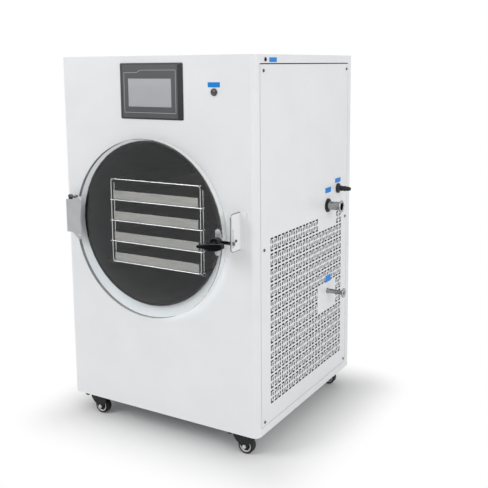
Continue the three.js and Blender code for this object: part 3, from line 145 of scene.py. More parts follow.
# %% Turned shapes
def turned(bm, profile, axis, centre=(0, 0, 0), facets=64, closed=False):
    """Turns (radius, station) points about an axis that runs through a centre."""
    middle = Vector(centre)
    rings = []
    for radius, station in profile:
        count = facets if radius > 0 else 1
        ring = []
        for k in range(count):
            angle = 2 * math.pi * k / count
            u, v = radius * math.cos(angle), radius * math.sin(angle)
            spot = {"x": (station, u, v), "y": (u, station, v), "z": (u, v, station)}[axis]
            ring.append(bm.verts.new(middle + Vector(spot)))
        rings.append(ring)
    pairs = list(zip(rings, rings[1:])) + ([(rings[-1], rings[0])] if closed else [])
    for low, high in pairs:
        for k in range(facets):
            corners = [low[k % len(low)], low[(k + 1) % len(low)],
                       high[(k + 1) % len(high)], high[k % len(high)]]
            different = list(dict.fromkeys(corners))
            if len(different) > 2:
                bm.faces.new(different)


def soft_corner(radius, station, round_off, inward, towards, count=4):
    """Points of a rounded corner, from the radial side to the flat side."""
    points = []
    for k in range(count + 1):
        angle = math.pi / 2 * k / count
        points.append((
            radius + inward * round_off * (1 - math.cos(angle)),
            station + towards * round_off * (1 - math.sin(angle)),
        ))
    return points


# %% Flat shapes
def prism(bm, outline, face, low, high):
    """A solid with a flat outline, between two distances proud of a face of the cabinet."""
    bottom = [bm.verts.new(face(u, v, low)) for u, v in outline]
    top = [bm.verts.new(face(u, v, high)) for u, v in outline]
    bm.faces.new(bottom)
    bm.faces.new(top)
    for k in range(len(outline)):
        after = (k + 1) % len(outline)
        bm.faces.new((bottom[k], bottom[after], top[after], top[k]))


# %% [markdown]
# ## Sheet with holes
# A sheet part with holes starts as a flat net of triangles that keeps every edge of its outline
# and its holes. The net then gets a thickness. A boolean cut could do the same, but with hundreds
# of vent slots it is slow and leaves slivers, and a net can be copied tile by tile.

# %% Sheet metal
def leftward(loop):
    """The same loop, turned so that its inside lies on the left of every edge."""
    area = sum(a[0] * b[1] - b[0] * a[1] for a, b in zip(loop, loop[1:] + loop[:1]))
    return loop if area > 0 else loop[::-1]


def flat_net(outline, holes):
    """A flat net of triangles inside an outline that bulges nowhere inwards, minus its holes."""
    points = [Vector(point) for point in outline]
    faces = []
    for loop in holes:
        faces.append(list(range(len(points), len(points) + len(loop))))
        points += [Vector(point) for point in leftward(loop)]
    spots, _, triangles, _, _, origins = delaunay_2d_cdt(points, [], faces, 0, 1e-5, True)
    kept = [corners for corners, origin in zip(triangles, origins) if not origin]
    return [[(spots[k].x, spots[k].y) for k in corners] for corners in kept]


def shifted(net, across, up):
    return [[(u + across, v + up) for u, v in triangle] for triangle in net]


def sheet_metal(bm, net, face, low, high):
    """Gives a flat net its thickness: two skins, and a wall along every free edge."""
    skins = {}

    def corner(spot, level):
        key = (round(spot[0], 2), round(spot[1], 2), level)
        if key not in skins:
            skins[key] = bm.verts.new(face(*spot, level))
        return skins[key]

    edges = {}
    for triangle in net:
        bm.faces.new([corner(spot, high) for spot in triangle])
        bm.faces.new([corner(spot, low) for spot in triangle[::-1]])
        for start, end in zip(triangle, triangle[1:] + triangle[:1]):
            edges[tuple(round(part, 2) for part in start + end)] = (start, end)
    for (a, b, c, d), (start, end) in edges.items():
        if (c, d, a, b) not in edges:
            bm.faces.new((corner(start, low), corner(end, low), corner(end, high), corner(start, high)))


# %% [markdown]
# ## Bent rods
# A rod is drawn as rings of points carried along its path, and each ring turns only as much as
# the path does, so the rod doesn't twist. A curve with a bevel would look the same, but rings
# give a plain mesh that can be joined with turned parts.

# %% Bent wire
def wire(bm, path, radius, closed=False, sides=12):
    """A round rod along a path; its ends are closed by a small dome."""
    points = [Vector(point) for point in path]
    count = len(points)
    rings = []
    across = None
    for k, point in enumerate(points):
        before = points[k - 1] if (k or closed) else point
        after = points[(k + 1) % count] if (k < count - 1 or closed) else point
        along = (after - before).normalized()
        if across is None:
            across = along.orthogonal().normalized()
        across = (across - along * across.dot(along)).normalized()
        up = along.cross(across)
        turns = [2 * math.pi * s / sides for s in range(sides)]
        rings.append([
            bm.verts.new(point + radius * (math.cos(a) * across + math.sin(a) * up)) for a in turns
        ])
    for low, high in zip(rings, rings[1:] + (rings[:1] if closed else [])):
        for s in range(sides):
            after = (s + 1) % sides
            bm.faces.new((low[s], low[after], high[after], high[s]))
    if closed:
        return
    for ring, point, inner in ((rings[0], points[0], points[1]), (rings[-1], points[-1], points[-2])):
        tip = bm.verts.new(point + (point - inner).normalized() * radius * 0.5)
        for s in range(sides):
            bm.faces.new((ring[s], ring[(s + 1) % sides], tip))


# %% [markdown]
# ## Broken edges and even shading
# No real edge is perfectly sharp: sheet is deburred, castings are tumbled, and that thin rounded
# line is what catches the light. The solids' edges could be rounded by hand, but a chain of
# modifiers does it for every part and leaves the solid itself as it was. A small geometry-nodes
# group marks which edges stay crisp, from the angle between their faces.

# %% Crisp edges
def shading_group():
    tree = bpy.data.node_groups.new("crisp edges", "GeometryNodeTree")
    tree.interface.new_socket("Geometry", in_out="INPUT", socket_type="NodeSocketGeometry")
    tree.interface.new_socket("Geometry", in_out="OUTPUT", socket_type="NodeSocketGeometry")
    angle = tree.interface.new_socket("Angle", in_out="INPUT", socket_type="NodeSocketFloat")
    angle.default_value = math.radians(35)
    start, end = tree.nodes.new("NodeGroupInput"), tree.nodes.new("NodeGroupOutput")
    faces = tree.nodes.new("GeometryNodeSetShadeSmooth")
    edges = tree.nodes.new("GeometryNodeSetShadeSmooth")
    edges.domain = "EDGE"
    edges.inputs["Shade Smooth"].default_value = False
    bend = tree.nodes.new("GeometryNodeInputMeshEdgeAngle")
    over = tree.nodes.new("FunctionNodeCompare")
    over.operation = "GREATER_THAN"
    link = tree.links.new
    link(start.outputs["Geometry"], faces.inputs["Geometry"])
    link(faces.outputs["Geometry"], edges.inputs["Geometry"])
    link(bend.outputs["Unsigned Angle"], over.inputs[0])
    link(start.outputs["Angle"], over.inputs[1])
    link(over.outputs["Result"], edges.inputs["Selection"])
    link(edges.outputs["Geometry"], end.inputs["Geometry"])
    return tree, angle.identifier


CRISP_EDGES, CRISP_ANGLE = shading_group()
print("edge group:", CRISP_EDGES.name)


# %% Rounded edges
def soften(obj, width=0.0, segments=2, limit=30, crisp=35, flatten=0.6):
    """Rounds the edges of a piece by a width in mm and evens out its shading."""
    shared = obj.modifiers.new("shared corners", "WELD")
    shared.merge_threshold = 0.01 * MM
    if width:
        if flatten:
            flat = obj.modifiers.new("whole faces", "DECIMATE")
            flat.decimate_type = "DISSOLVE"
            flat.angle_limit = math.radians(flatten)
        edge = obj.modifiers.new("broken edges", "BEVEL")
        edge.width = width * MM
        edge.segments = segments
        edge.limit_method = "ANGLE"
        edge.angle_limit = math.radians(limit)
        edge.use_clamp_overlap = False
    shade = obj.modifiers.new("crisp edges", "NODES")
    shade.node_group = CRISP_EDGES
    shade[CRISP_ANGLE] = math.radians(crisp)
    even = obj.modifiers.new("even shading", "WEIGHTED_NORMAL")
    even.keep_sharp = True


# %% [markdown]
# ## A piece on its body
# Each fine piece belongs to one moving body of the machine: a lever turns with the latch, a wheel
# rolls. Parenting by hand is easy to forget, so one helper turns a drawing into a mesh, gives it
# its finish and rounding, lets it ride on its body and hides the solid that it stands for.

# %% Pieces
def piece(name, bm, body, finish, slot, replaces=(), **rounding):
    """Turns a drawn mesh into a named piece that rides on a body of the machine."""
    bmesh.ops.recalc_face_normals(bm, faces=bm.faces)
    mesh = bpy.data.meshes.new(name)
    bm.to_mesh(mesh)
    bm.free()
    mesh.transform(TO_ROW)
    obj = bpy.data.objects.new(name, mesh)
    bpy.context.scene.collection.objects.link(obj)
    for look in (finish if isinstance(finish, (list, tuple)) else [finish]):
        mesh.materials.append(look)
    soften(obj, **rounding)
    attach(obj, body)
    if replaces:
        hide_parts(*replaces)
    print("made", name, "with", len(mesh.polygons), "faces")
    return obj


# %% [markdown]
# ## Helpers for finishes
# A finish is a small tree of nodes. Wiring each one by hand hides what matters, so `add` makes a
# node with its settings and feeds, where a feed is either a plain value or another node's output.
# The other helpers are short names for the steps that every finish needs.

# %% Node helpers
def srgb(red, green, blue):
    """A colour on the 0-255 scale of a screen, as the linear values that shaders use."""
    def linear(level):
        share = level / 255
        return share / 12.92 if share <= 0.04045 else ((share + 0.055) / 1.055) ** 2.4
    return (linear(red), linear(green), linear(blue), 1.0)


def feed(tree, socket, value):
    if isinstance(value, bpy.types.NodeSocket):
        tree.links.new(value, socket)
    else:
        socket.default_value = value


def add(tree, kind, feeds=None, **settings):
    node = tree.nodes.new(kind)
    for key, value in settings.items():
        setattr(node, key, value)
    for key, value in (feeds or {}).items():
        feed(tree, node.inputs[key], value)
    return node


def reckon(tree, operation, first, second=0.0, third=0.0, clamp=False):
    feeds = {0: first, 1: second, 2: third}
    return add(tree, "ShaderNodeMath", feeds, operation=operation, use_clamp=clamp).outputs[0]


def remap(tree, value, low, high, to_low, to_high):
    feeds = {"Value": value, "From Min": low, "From Max": high, "To Min": to_low, "To Max": to_high}
    return add(tree, "ShaderNodeMapRange", feeds, clamp=True).outputs["Result"]


def blended(tree, share, first, second):
    node = add(tree, "ShaderNodeMix", {0: share, 6: first, 7: second}, data_type="RGBA")
    return node.outputs[2]


# %% Noise and groups
def noise(tree, scale, detail):
    """Soft noise that stays in place on the part."""
    place = add(tree, "ShaderNodeTexCoord").outputs["Object"]
    feeds = {"Vector": place, "Scale": scale, "Detail": detail}
    return add(tree, "ShaderNodeTexNoise", feeds).outputs["Fac"]


def effect(name, inputs, outputs):
    """An empty shader group with named sockets, and its two end nodes."""
    tree = bpy.data.node_groups.new(name, "ShaderNodeTree")
    for label, kind, value in inputs:
        socket = tree.interface.new_socket(label, in_out="INPUT", socket_type="NodeSocket" + kind)
        socket.default_value = value
    for label in outputs:
        tree.interface.new_socket(label, in_out="OUTPUT", socket_type="NodeSocketFloat")
    return tree, tree.nodes.new("NodeGroupInput").outputs, tree.nodes.new("NodeGroupOutput").inputs


# %% [markdown]
# ## Shared effect: skin
# Powder coat flows into a faint orange peel, moulds leave a fine grain and castings a coarser
# one. All three are soft bumps of different size, so one group serves them: it puts out the
# height of the bumps, and a slow drift of tone over the part that keeps a colour from being dead.

# %% Skin group
def skin_group():
    inputs = [("Size", "Float", 0.002), ("Drift", "Float", 0.12)]
    tree, given, out = effect("skin", inputs, ["Height", "Tone"])
    bumps = noise(tree, reckon(tree, "DIVIDE", 1.0, given["Size"]), 2.0)
    patches = noise(tree, reckon(tree, "DIVIDE", 1.0, given["Drift"]), 3.0)
    feed(tree, out["Height"], bumps)
    feed(tree, out["Tone"], remap(tree, patches, 0.3, 0.7, 0.0, 1.0))
    return tree


SKIN = skin_group()

# %% [markdown]
# ## Shared effect: brushed grain
# Stainless sheet is brushed in one direction with an abrasive belt. Noise that is stretched many
# times over along one axis gives the same fine lines, both as tone and as scratches in the
# surface. The stretch is an input, so each part chooses its own direction.

# %% Grain group
def grain_group():
    inputs = [("Stretch", "Vector", (20.0, 1500.0, 1500.0))]
    tree, given, out = effect("brushed grain", inputs, ["Height", "Tone"])
    place = add(tree, "ShaderNodeTexCoord").outputs["Object"]
    drawn = add(tree, "ShaderNodeVectorMath", {0: place, 1: given["Stretch"]}, operation="MULTIPLY")
    lines = add(tree, "ShaderNodeTexNoise", {"Vector": drawn.outputs[0], "Scale": 1.0, "Detail": 4.0})
    feed(tree, out["Height"], lines.outputs["Fac"])
    feed(tree, out["Tone"], remap(tree, lines.outputs["Fac"], 0.35, 0.65, 0.0, 1.0))
    return tree


GRAIN = grain_group()

# %% [markdown]
# ## Shared effect: edge wear
# Hands, trays and trolleys rub the edges first. The bevel node gives the normal that a rounded
# edge would have, and where it differs from the true normal there is an edge. A noise breaks the
# line up, because wear is never even.

# %% Wear group
def wear_group():
    inputs = [("Width", "Float", 0.001), ("Amount", "Float", 0.5)]
    tree, given, out = effect("edge wear", inputs, ["Mask"])
    rounded = add(tree, "ShaderNodeBevel", {"Radius": given["Width"]}, samples=4).outputs["Normal"]
    true = add(tree, "ShaderNodeNewGeometry").outputs["Normal"]
    match = add(tree, "ShaderNodeVectorMath", {0: rounded, 1: true}, operation="DOT_PRODUCT")
    edge = remap(tree, match.outputs["Value"], 0.99, 0.86, 0.0, 1.0)
    broken = noise(tree, 90.0, 4.0)
    rubbed = remap(tree, broken, 0.42, 0.62, 0.15, 1.0)
    mask = reckon(tree, "MULTIPLY", edge, rubbed)
    feed(tree, out["Mask"], reckon(tree, "MULTIPLY", mask, given["Amount"], clamp=True))
    return tree


WEAR = wear_group()

# %% [markdown]
# ## Shared effect: dust and smudges
# Dust settles on faces that look up, in uneven patches. Fingers leave a slightly duller film on
# smooth faces. Both are masks: the finish decides what colour or roughness they bring.

# %% Dust and smudge groups
def dust_group():
    tree, given, out = effect("dust", [("Amount", "Float", 0.2)], ["Mask"])
    true = add(tree, "ShaderNodeNewGeometry").outputs["Normal"]
    upward = add(tree, "ShaderNodeSeparateXYZ", {"Vector": true}).outputs["Z"]
    patches = noise(tree, 26.0, 6.0)
    settled = remap(tree, upward, 0.5, 1.0, 0.08, 1.0)
    mask = reckon(tree, "MULTIPLY", settled, remap(tree, patches, 0.35, 0.7, 0.2, 1.0))
    feed(tree, out["Mask"], reckon(tree, "MULTIPLY", mask, given["Amount"], clamp=True))
    return tree


def smudge_group():
    tree, given, out = effect("smudges", [("Amount", "Float", 0.5)], ["Mask"])
    areas, prints = noise(tree, 9.0, 3.0), noise(tree, 70.0, 3.0)
    mask = reckon(tree, "MULTIPLY", remap(tree, areas, 0.45, 0.65, 0.0, 1.0), prints)
    feed(tree, out["Mask"], reckon(tree, "MULTIPLY", mask, given["Amount"], clamp=True))
    return tree


DUST = dust_group()
SMUDGES = smudge_group()
print("effects:", [group.name for group in bpy.data.node_groups])

# %% [markdown]
# ## Finishes
# Each finish mixes two close tones of its colour by the drift or grain, adds dust and edge wear,
# lets smudges raise the roughness, and bumps the surface by its skin or grain. One function wires
# all that, so that the list of finishes below reads like a paint card.

# %% One way to wire a finish
HOUSE_DUST = srgb(176, 172, 164)


def finish(name, light, dark, rough, metallic=0.0, skin=0.002, stretch=None, relief=0.02,
           wear=None, wear_amount=0.5, dust=0.05, smudges=0.3, specular=0.5):
    material = bpy.data.materials.new(name)
    material.use_nodes = True
    tree = material.node_tree
    shader = tree.nodes["Principled BSDF"]

    def placed(group, feeds):
        return add(tree, "ShaderNodeGroup", feeds, node_tree=group)

    surface = add(tree, "ShaderNodeGroup", node_tree=GRAIN if stretch else SKIN)
    if stretch:
        surface.inputs["Stretch"].default_value = stretch
    else:
        surface.inputs["Size"].default_value = skin
    colour = blended(tree, surface.outputs["Tone"], dark, light)
    if wear:
        worn = placed(WEAR, {"Width": 0.0012, "Amount": wear_amount}).outputs["Mask"]
        colour = blended(tree, worn, colour, wear)
    colour = blended(tree, placed(DUST, {"Amount": dust}).outputs["Mask"], colour, HOUSE_DUST)
    film = placed(SMUDGES, {"Amount": smudges}).outputs["Mask"]
    bump = add(tree, "ShaderNodeBump", {"Height": surface.outputs["Height"], "Strength": 1.0})
    bump.inputs["Distance"].default_value = relief * MM
    feed(tree, shader.inputs["Base Color"], colour)
    feed(tree, shader.inputs["Roughness"], remap(tree, film, 0.0, 0.6, rough[0], rough[1]))
    feed(tree, shader.inputs["Normal"], bump.outputs["Normal"])
    shader.inputs["Metallic"].default_value = metallic
    shader.inputs["Specular IOR Level"].default_value = specular
    return material

# %% [markdown]
# ## The paint card
# The cabinet is powder coated, the chamber is darkened steel, the rack and trays are brushed
# stainless steel and the hinge and latch plates are blasted alloy. The grain of each steel part
# runs the way its sheet was brushed, so the chamber's wall and the trays have their own stretch.

# %% Metal finishes
ALONG_X, ALONG_Y = (14, 900, 900), (900, 14, 900)

powder_coat = finish("white powder coat", srgb(231, 232, 234), srgb(227, 228, 230), (0.34, 0.5),
                     skin=0.0016, relief=0.012, dust=0.05, specular=0.4)
zinc = finish("zinc-plated sheet", srgb(186, 190, 192), srgb(156, 160, 163), (0.38, 0.55),
              metallic=1.0, skin=0.006, relief=0.004, wear=srgb(206, 208, 209), dust=0.18)
liner = finish("dark chamber wall", srgb(63, 63, 64), srgb(48, 48, 49), (0.33, 0.46),
               metallic=0.25, stretch=ALONG_Y, relief=0.008, dust=0.03)
tray_steel = finish("brushed tray steel", srgb(184, 180, 176), srgb(150, 147, 143), (0.3, 0.44),
                    metallic=1.0, stretch=ALONG_X, relief=0.01, wear=srgb(240, 240, 238), dust=0.02)
bright_steel = finish("bright drawn steel", srgb(226, 226, 224), srgb(204, 204, 203), (0.14, 0.26),
                      metallic=1.0, skin=0.01, relief=0.003, dust=0.02)
pipe_steel = finish("brushed pipe steel", srgb(176, 176, 176), srgb(142, 142, 142), (0.2, 0.34),
                    metallic=1.0, stretch=ALONG_X, relief=0.006, wear=srgb(214, 214, 214), dust=0.03)
blasted_alloy = finish("blasted alloy", srgb(222, 223, 224), srgb(202, 203, 204), (0.36, 0.5),
                       metallic=0.45, skin=0.0006, relief=0.012, wear=srgb(236, 236, 236), dust=0.04)
# The fins' near-black, darker than bare alloy, is painted shade for the dark seen through the vent
# slots.
shaded_fin_alloy = finish("condenser fins", srgb(58, 59, 61), srgb(40, 41, 43), (0.45, 0.65),
                   metallic=0.3, stretch=(30, 1200, 30), relief=0.05, dust=0.3)
black_steel = finish("black-coated steel", srgb(24, 24, 26), srgb(15, 15, 17), (0.36, 0.55),
                     skin=0.0014, relief=0.02, wear=srgb(96, 96, 98), wear_amount=0.5, dust=0.03,
                     specular=0.35)
copper = finish("drawn copper", srgb(206, 132, 96), srgb(168, 92, 62), (0.25, 0.42),
                metallic=1.0, skin=0.02, relief=0.004, wear=srgb(226, 168, 136), dust=0.1)
screw_steel = finish("dark screw steel", srgb(112, 112, 114), srgb(84, 84, 86), (0.3, 0.45),
                     metallic=0.8, skin=0.003, relief=0.01, wear=srgb(190, 190, 190), dust=0.05)

# %% [markdown]
# ## Rubber, plastic and foam
# These are all dielectrics: their colour comes from pigment, and their gloss from the skin that
# the mould left. Tyres are dull and dusty, the lever is glossy, and the foam is coarse.

# %% Soft and moulded finishes
tyre_rubber = finish("tyre rubber", srgb(30, 30, 31), srgb(20, 20, 21), (0.5, 0.7),
                     skin=0.0012, relief=0.04, wear=srgb(64, 63, 62), dust=0.05, specular=0.3)
seal_rubber = finish("seal rubber", srgb(18, 18, 19), srgb(12, 12, 13), (0.5, 0.66),
                     skin=0.0009, relief=0.02, dust=0.01, specular=0.25)
# The screen's black is painted shade for the dark seen through the vent slots.
vent_shade_black = finish("woven screen", srgb(30, 30, 31), srgb(18, 18, 19), (0.7, 0.85),
                     skin=0.0008, relief=0.08, dust=0.08, specular=0.15)
lever_plastic = finish("black lever plastic", srgb(22, 22, 24), srgb(14, 14, 16), (0.22, 0.4),
                       skin=0.0011, relief=0.012, wear=srgb(70, 70, 72), wear_amount=0.4, dust=0.01,
                       specular=0.4)
hub_plastic = finish("grey hub plastic", srgb(204, 204, 203), srgb(188, 188, 187), (0.4, 0.55),
                     skin=0.0015, relief=0.02, dust=0.15)
bezel_plastic = finish("grey bezel plastic", srgb(86, 87, 90), srgb(80, 81, 84), (0.42, 0.55),
                       skin=0.0009, relief=0.018, wear=srgb(120, 121, 124), wear_amount=0.3, dust=0.05)
# The flank finish is the bezel's grey made darker: painted shade for its sloped flanks.
shaded_flank_plastic = finish("dark bezel flank", srgb(46, 47, 50), srgb(40, 41, 44), (0.4, 0.55),
                       skin=0.0009, relief=0.018, wear=srgb(90, 91, 94), wear_amount=0.3, dust=0.05)
line_plastic = finish("light outline", srgb(176, 178, 181), srgb(164, 166, 169), (0.4, 0.5),
                      skin=0.0009, relief=0.01, dust=0.02)
blue_film = finish("blue label film", srgb(10, 130, 216), srgb(6, 122, 208), (0.4, 0.5),
                   skin=0.004, relief=0.006, dust=0.01, specular=0.3)
film_edge = finish("label edge", srgb(150, 206, 246), srgb(136, 198, 242), (0.35, 0.5),
                   skin=0.004, relief=0.004, dust=0.02)
pale_foam = finish("insulation foam", srgb(232, 222, 186), srgb(212, 200, 160), (0.85, 0.95),
                   skin=0.004, relief=0.4, dust=0.1)
screen = finish("display glass", srgb(176, 178, 181), srgb(168, 170, 173), (0.08, 0.2),
                skin=0.2, relief=0.001, smudges=0.6, dust=0.02)
print("finishes:", len(bpy.data.materials))

# %% [markdown]
# ## Clear acrylic
# The door is a 24 mm slab of cast acrylic, polished on its faces. Its turned rim keeps a trace of
# the cutter, so it is slightly frosted. A glass shader alone would throw a black shadow, because
# it stops lamp rays. Real acrylic lets them through, so shadow rays meet a transparent shader.
# Seen from within the slab the rim's back faces are painted grey: a painted shade for the dark band
# that the rim shows through the slab.

# %% Acrylic finishes
def acrylic(name, rough, relief, through=1.0, inside=None):
    material = bpy.data.materials.new(name)
    material.use_nodes = True
    tree = material.node_tree
    shader = tree.nodes["Principled BSDF"]
    film = add(tree, "ShaderNodeGroup", {"Amount": 0.5}, node_tree=SMUDGES).outputs["Mask"]
    surface = add(tree, "ShaderNodeGroup", {"Size": 0.004}, node_tree=SKIN)
    bump = add(tree, "ShaderNodeBump", {"Height": surface.outputs["Height"], "Strength": 1.0})
    bump.inputs["Distance"].default_value = relief * MM
    tint = blended(tree, surface.outputs["Tone"], srgb(250, 253, 254), srgb(253, 254, 254))
    # Back faces take the grey given as inside: painted shade for the rim seen from within the slab.
    if inside:
        tint = blended(tree, add(tree, "ShaderNodeNewGeometry").outputs["Backfacing"], tint, inside)
    feed(tree, shader.inputs["Base Color"], tint)
    feed(tree, shader.inputs["Roughness"], remap(tree, film, 0.0, 0.6, rough[0], rough[1]))
    feed(tree, shader.inputs["Normal"], bump.outputs["Normal"])
    shader.inputs["IOR"].default_value = 1.49
    shader.inputs["Transmission Weight"].default_value = through
    shadow = add(tree, "ShaderNodeLightPath").outputs["Is Shadow Ray"]
    clear = add(tree, "ShaderNodeBsdfTransparent", {"Color": srgb(240, 245, 246)}).outputs["BSDF"]
    both = add(tree, "ShaderNodeMixShader", {0: shadow, 1: shader.outputs["BSDF"], 2: clear})
    feed(tree, tree.nodes["Material Output"].inputs["Surface"], both.outputs["Shader"])
    return material


polished_acrylic = acrylic("polished acrylic", (0.0, 0.02), 0.0005)
# The rim's grey from within is painted shade, given as inside.
turned_acrylic = acrylic("turned acrylic rim", (0.4, 0.5), 0.002, through=0.25,
                         inside=srgb(112, 114, 115))

# %% [markdown]
# ## Dress the solids
# The solids that already have the right shape keep it. Each gets its finish and a rounding of its
# edges: folded sheet is barely broken, castings and blasted plates are softer. Pipes and foam
# get no rounding, because they have no worked edge. The cabinet's shell gets none either, because
# merging its large faces round their openings would spoil them; its corners are already round.

# %% Finishes and roundings of the solids
FINISH_OF_SLOT = {
    "white_paint": powder_coat, "zinc_sheet": zinc, "dark_liner": liner, "steel": pipe_steel,
    "machined_alloy": blasted_alloy, "clear_acrylic": polished_acrylic, "black_rubber": seal_rubber,
    "tyre_rubber": tyre_rubber, "black_plastic": lever_plastic, "dark_plastic": bezel_plastic,
    "screen_glass": screen, "black_steel": black_steel, "copper": copper, "foam": pale_foam,
}
FINISH_OF_PART = {"condenser": shaded_fin_alloy, "key_switch_body": screw_steel,
                  **{f"tray_{level}": tray_steel for level in (1, 2, 3, 4)}}
ROUNDING_OF_PART = {
    "cabinet_shell": 0.0, "side_panel_left": 0.5, "rear_panel": 0.4, "vacuum_chamber": 0.8,
    "hinge_leaf": 0.9, "hinge_base": 1.1, "latch_plate": 0.8, "strike_bracket": 0.9,
    "hinge_pin": 0.8, "key_switch_body": 0.6, "key_switch_plug": 0.3, "touch_screen": 0.3,
    "power_gland": 0.6, "compressor": 0.0, "condenser": 0.0, "insulation": 0.0, "cold_coil": 0.0,
    "liquid_pipe": 0.0, "suction_pipe": 0.0, "discharge_pipe": 0.0, "vent_pipe": 0.0,
    "door_gasket": 0.8, "condenser_fan": 0.0, "fan_shroud": 0.0,
}
SOFT_SHADED = {"compressor": 50, "cold_coil": 75, "liquid_pipe": 60, "suction_pipe": 60,
               "discharge_pipe": 60, "vent_pipe": 50, "insulation": 30}
DEFAULT_ROUNDING = 0.4

slot_of = {row["node"]: row["material_slot"] for row in frame["record"]["subparts"]}
for name, solid in cad_nodes.items():
    look = FINISH_OF_PART.get(name, FINISH_OF_SLOT[slot_of[name]])
    for material_slot in solid.material_slots:
        material_slot.material = look
    soften(solid, ROUNDING_OF_PART.get(name, DEFAULT_ROUNDING), crisp=SOFT_SHADED.get(name, 35))
print("dressed solids:", len(cad_nodes))

# %% [markdown]
# ## The vented side panel
# The lower two thirds of the right panel breathe for the condenser behind it. A punching tool has
# pressed the same figure again and again: a ring of four corner slots round four short ones. The
# panel could carry the figure as an image, but real slots catch light on their edges and let the
# eye through, so every slot is cut out of the sheet. Nine tiles stay blank next to the ports.

# %% Vent figure
TILE = 45.8
FIELD_FRONT, FIELD_TOP = -226.5, 624.5
VENT_COUNT = 11
BLANK_COLUMNS, BLANK_ROWS = (7, 8, 9), (0, 5, 6)
RING_HALF, SLOT_WIDE, LEG = 20.0, 5.2, 16.6
SHORT_WIDE, SHORT_TALL, SHORT_APART = 6.2, 9.6, 6.6


def corner_slot(side, up):
    """An L-shaped slot in one corner of the ring."""
    far, near, end = RING_HALF, RING_HALF - SLOT_WIDE, RING_HALF - LEG
    figure = [(far, far), (far, end), (near, end), (near, near), (end, near), (end, far)]
    return [(side * a, up * b) for a, b in figure]


def short_slot(side, up):
    return rectangle(side * SHORT_APART - SHORT_WIDE / 2, side * SHORT_APART + SHORT_WIDE / 2,
                     up * SHORT_APART - SHORT_TALL / 2, up * SHORT_APART + SHORT_TALL / 2)


QUARTERS = [(side, up) for side in (-1, 1) for up in (-1, 1)]
tile_edge = rectangle(-TILE / 2, TILE / 2, -TILE / 2, TILE / 2)
figure = [corner_slot(*quarter) for quarter in QUARTERS] + [short_slot(*quarter) for quarter in QUARTERS]
vent_tile = flat_net(tile_edge, figure)
print("triangles in one vent tile:", len(vent_tile))

# %% Right panel
PANEL_FRONT, PANEL_REAR = -302.5, 295.5
PANEL_LOW, PANEL_HIGH = 93.5, 1132.5
VACUUM_AT, DRAIN_AT, NOZZLE_AT = (143, 677), (145, 389), (221, 723)
SHEET = 0.5
GROMMET_HOLE, NOZZLE_HOLE, DRAIN_HOLE = 18.3, 8.3, 9.0


def stepped_rectangle(left, low, wide, tall, step):
    """A rectangle with a point at every tile corner, so that it meets the tiles exactly."""
    right, high = left + wide * step, low + tall * step
    return ([(left + k * step, low) for k in range(wide)]
            + [(right, low + k * step) for k in range(tall)]
            + [(right - k * step, high) for k in range(wide)]
            + [(left, high - k * step) for k in range(tall)])


FIELD_LEFT = FIELD_FRONT - TILE / 2
FIELD_LOW = FIELD_TOP - (VENT_COUNT - 0.5) * TILE
field = stepped_rectangle(FIELD_LEFT, FIELD_LOW, VENT_COUNT, VENT_COUNT, TILE)
ports = [circle(GROMMET_HOLE, *VACUUM_AT, count=40), circle(NOZZLE_HOLE, *NOZZLE_AT, count=28)]
panel_net = flat_net(rectangle(PANEL_FRONT, PANEL_REAR, PANEL_LOW, PANEL_HIGH), [field, *ports])
tiles = 0
for row in range(VENT_COUNT):
    for column in range(VENT_COUNT):
        if row in BLANK_ROWS and column in BLANK_COLUMNS:
            continue
        panel_net += shifted(vent_tile, FIELD_FRONT + column * TILE, FIELD_TOP - row * TILE)
        tiles += 1
blank_left = FIELD_LEFT + BLANK_COLUMNS[0] * TILE
for top_row, rows, holes in ((0, 1, []), (5, 2, [circle(DRAIN_HOLE, *DRAIN_AT, count=32)])):
    low = FIELD_TOP - (top_row + rows - 0.5) * TILE
    panel_net += flat_net(stepped_rectangle(blank_left, low, len(BLANK_COLUMNS), rows, TILE), holes)
panel = bmesh.new()
sheet_metal(panel, panel_net, on_right, -SHEET, 0)
piece("vented_side_panel", panel, "cabinet", powder_coat, "white_paint", ["side_panel_right"], crisp=30)
print("slots punched:", tiles * len(figure))

# %% [markdown]
# ## Dark screen behind the vents: painted shade
# Seen through the slots this machine is black, while its foam and its zinc-plated floor are pale.
# A black woven screen is set a little way in, behind the slots. The screen is a guess, and its black
# is painted shade: it stands for the dark deep inside the cabinet and gives the slots their depth.

# %% Screen of painted shade
MESH_IN, MESH_THICK, MESH_OVERLAP, MESH_HOLE = 9.0, 0.6, 6, 9.5
vent_shade_screen = bmesh.new()
mesh_area = rectangle(FIELD_LEFT - MESH_OVERLAP, FIELD_LEFT + VENT_COUNT * TILE + MESH_OVERLAP,
                      FIELD_LOW - MESH_OVERLAP, FIELD_TOP + TILE / 2)
mesh_net = flat_net(mesh_area, [circle(MESH_HOLE, *DRAIN_AT, count=32)])
sheet_metal(vent_shade_screen, mesh_net, on_right, -MESH_IN - MESH_THICK, -MESH_IN)
# The screen's black finish is painted shade behind the slots.
piece("vent_shade_screen", vent_shade_screen, "cabinet", vent_shade_black, "black_plastic")

# %% [markdown]
# ## Seams round the panel
# The roof's folded edge stands a few millimetres above the side panel, and the joint between them
# is the darkest line on this side. A finer joint runs down the panel's front edge. Thin black strips
# in the rubber finish are set at the bottom of the joints: they are painted shade for the dark of the
# grooves, set deep so that real shade falls on them too.

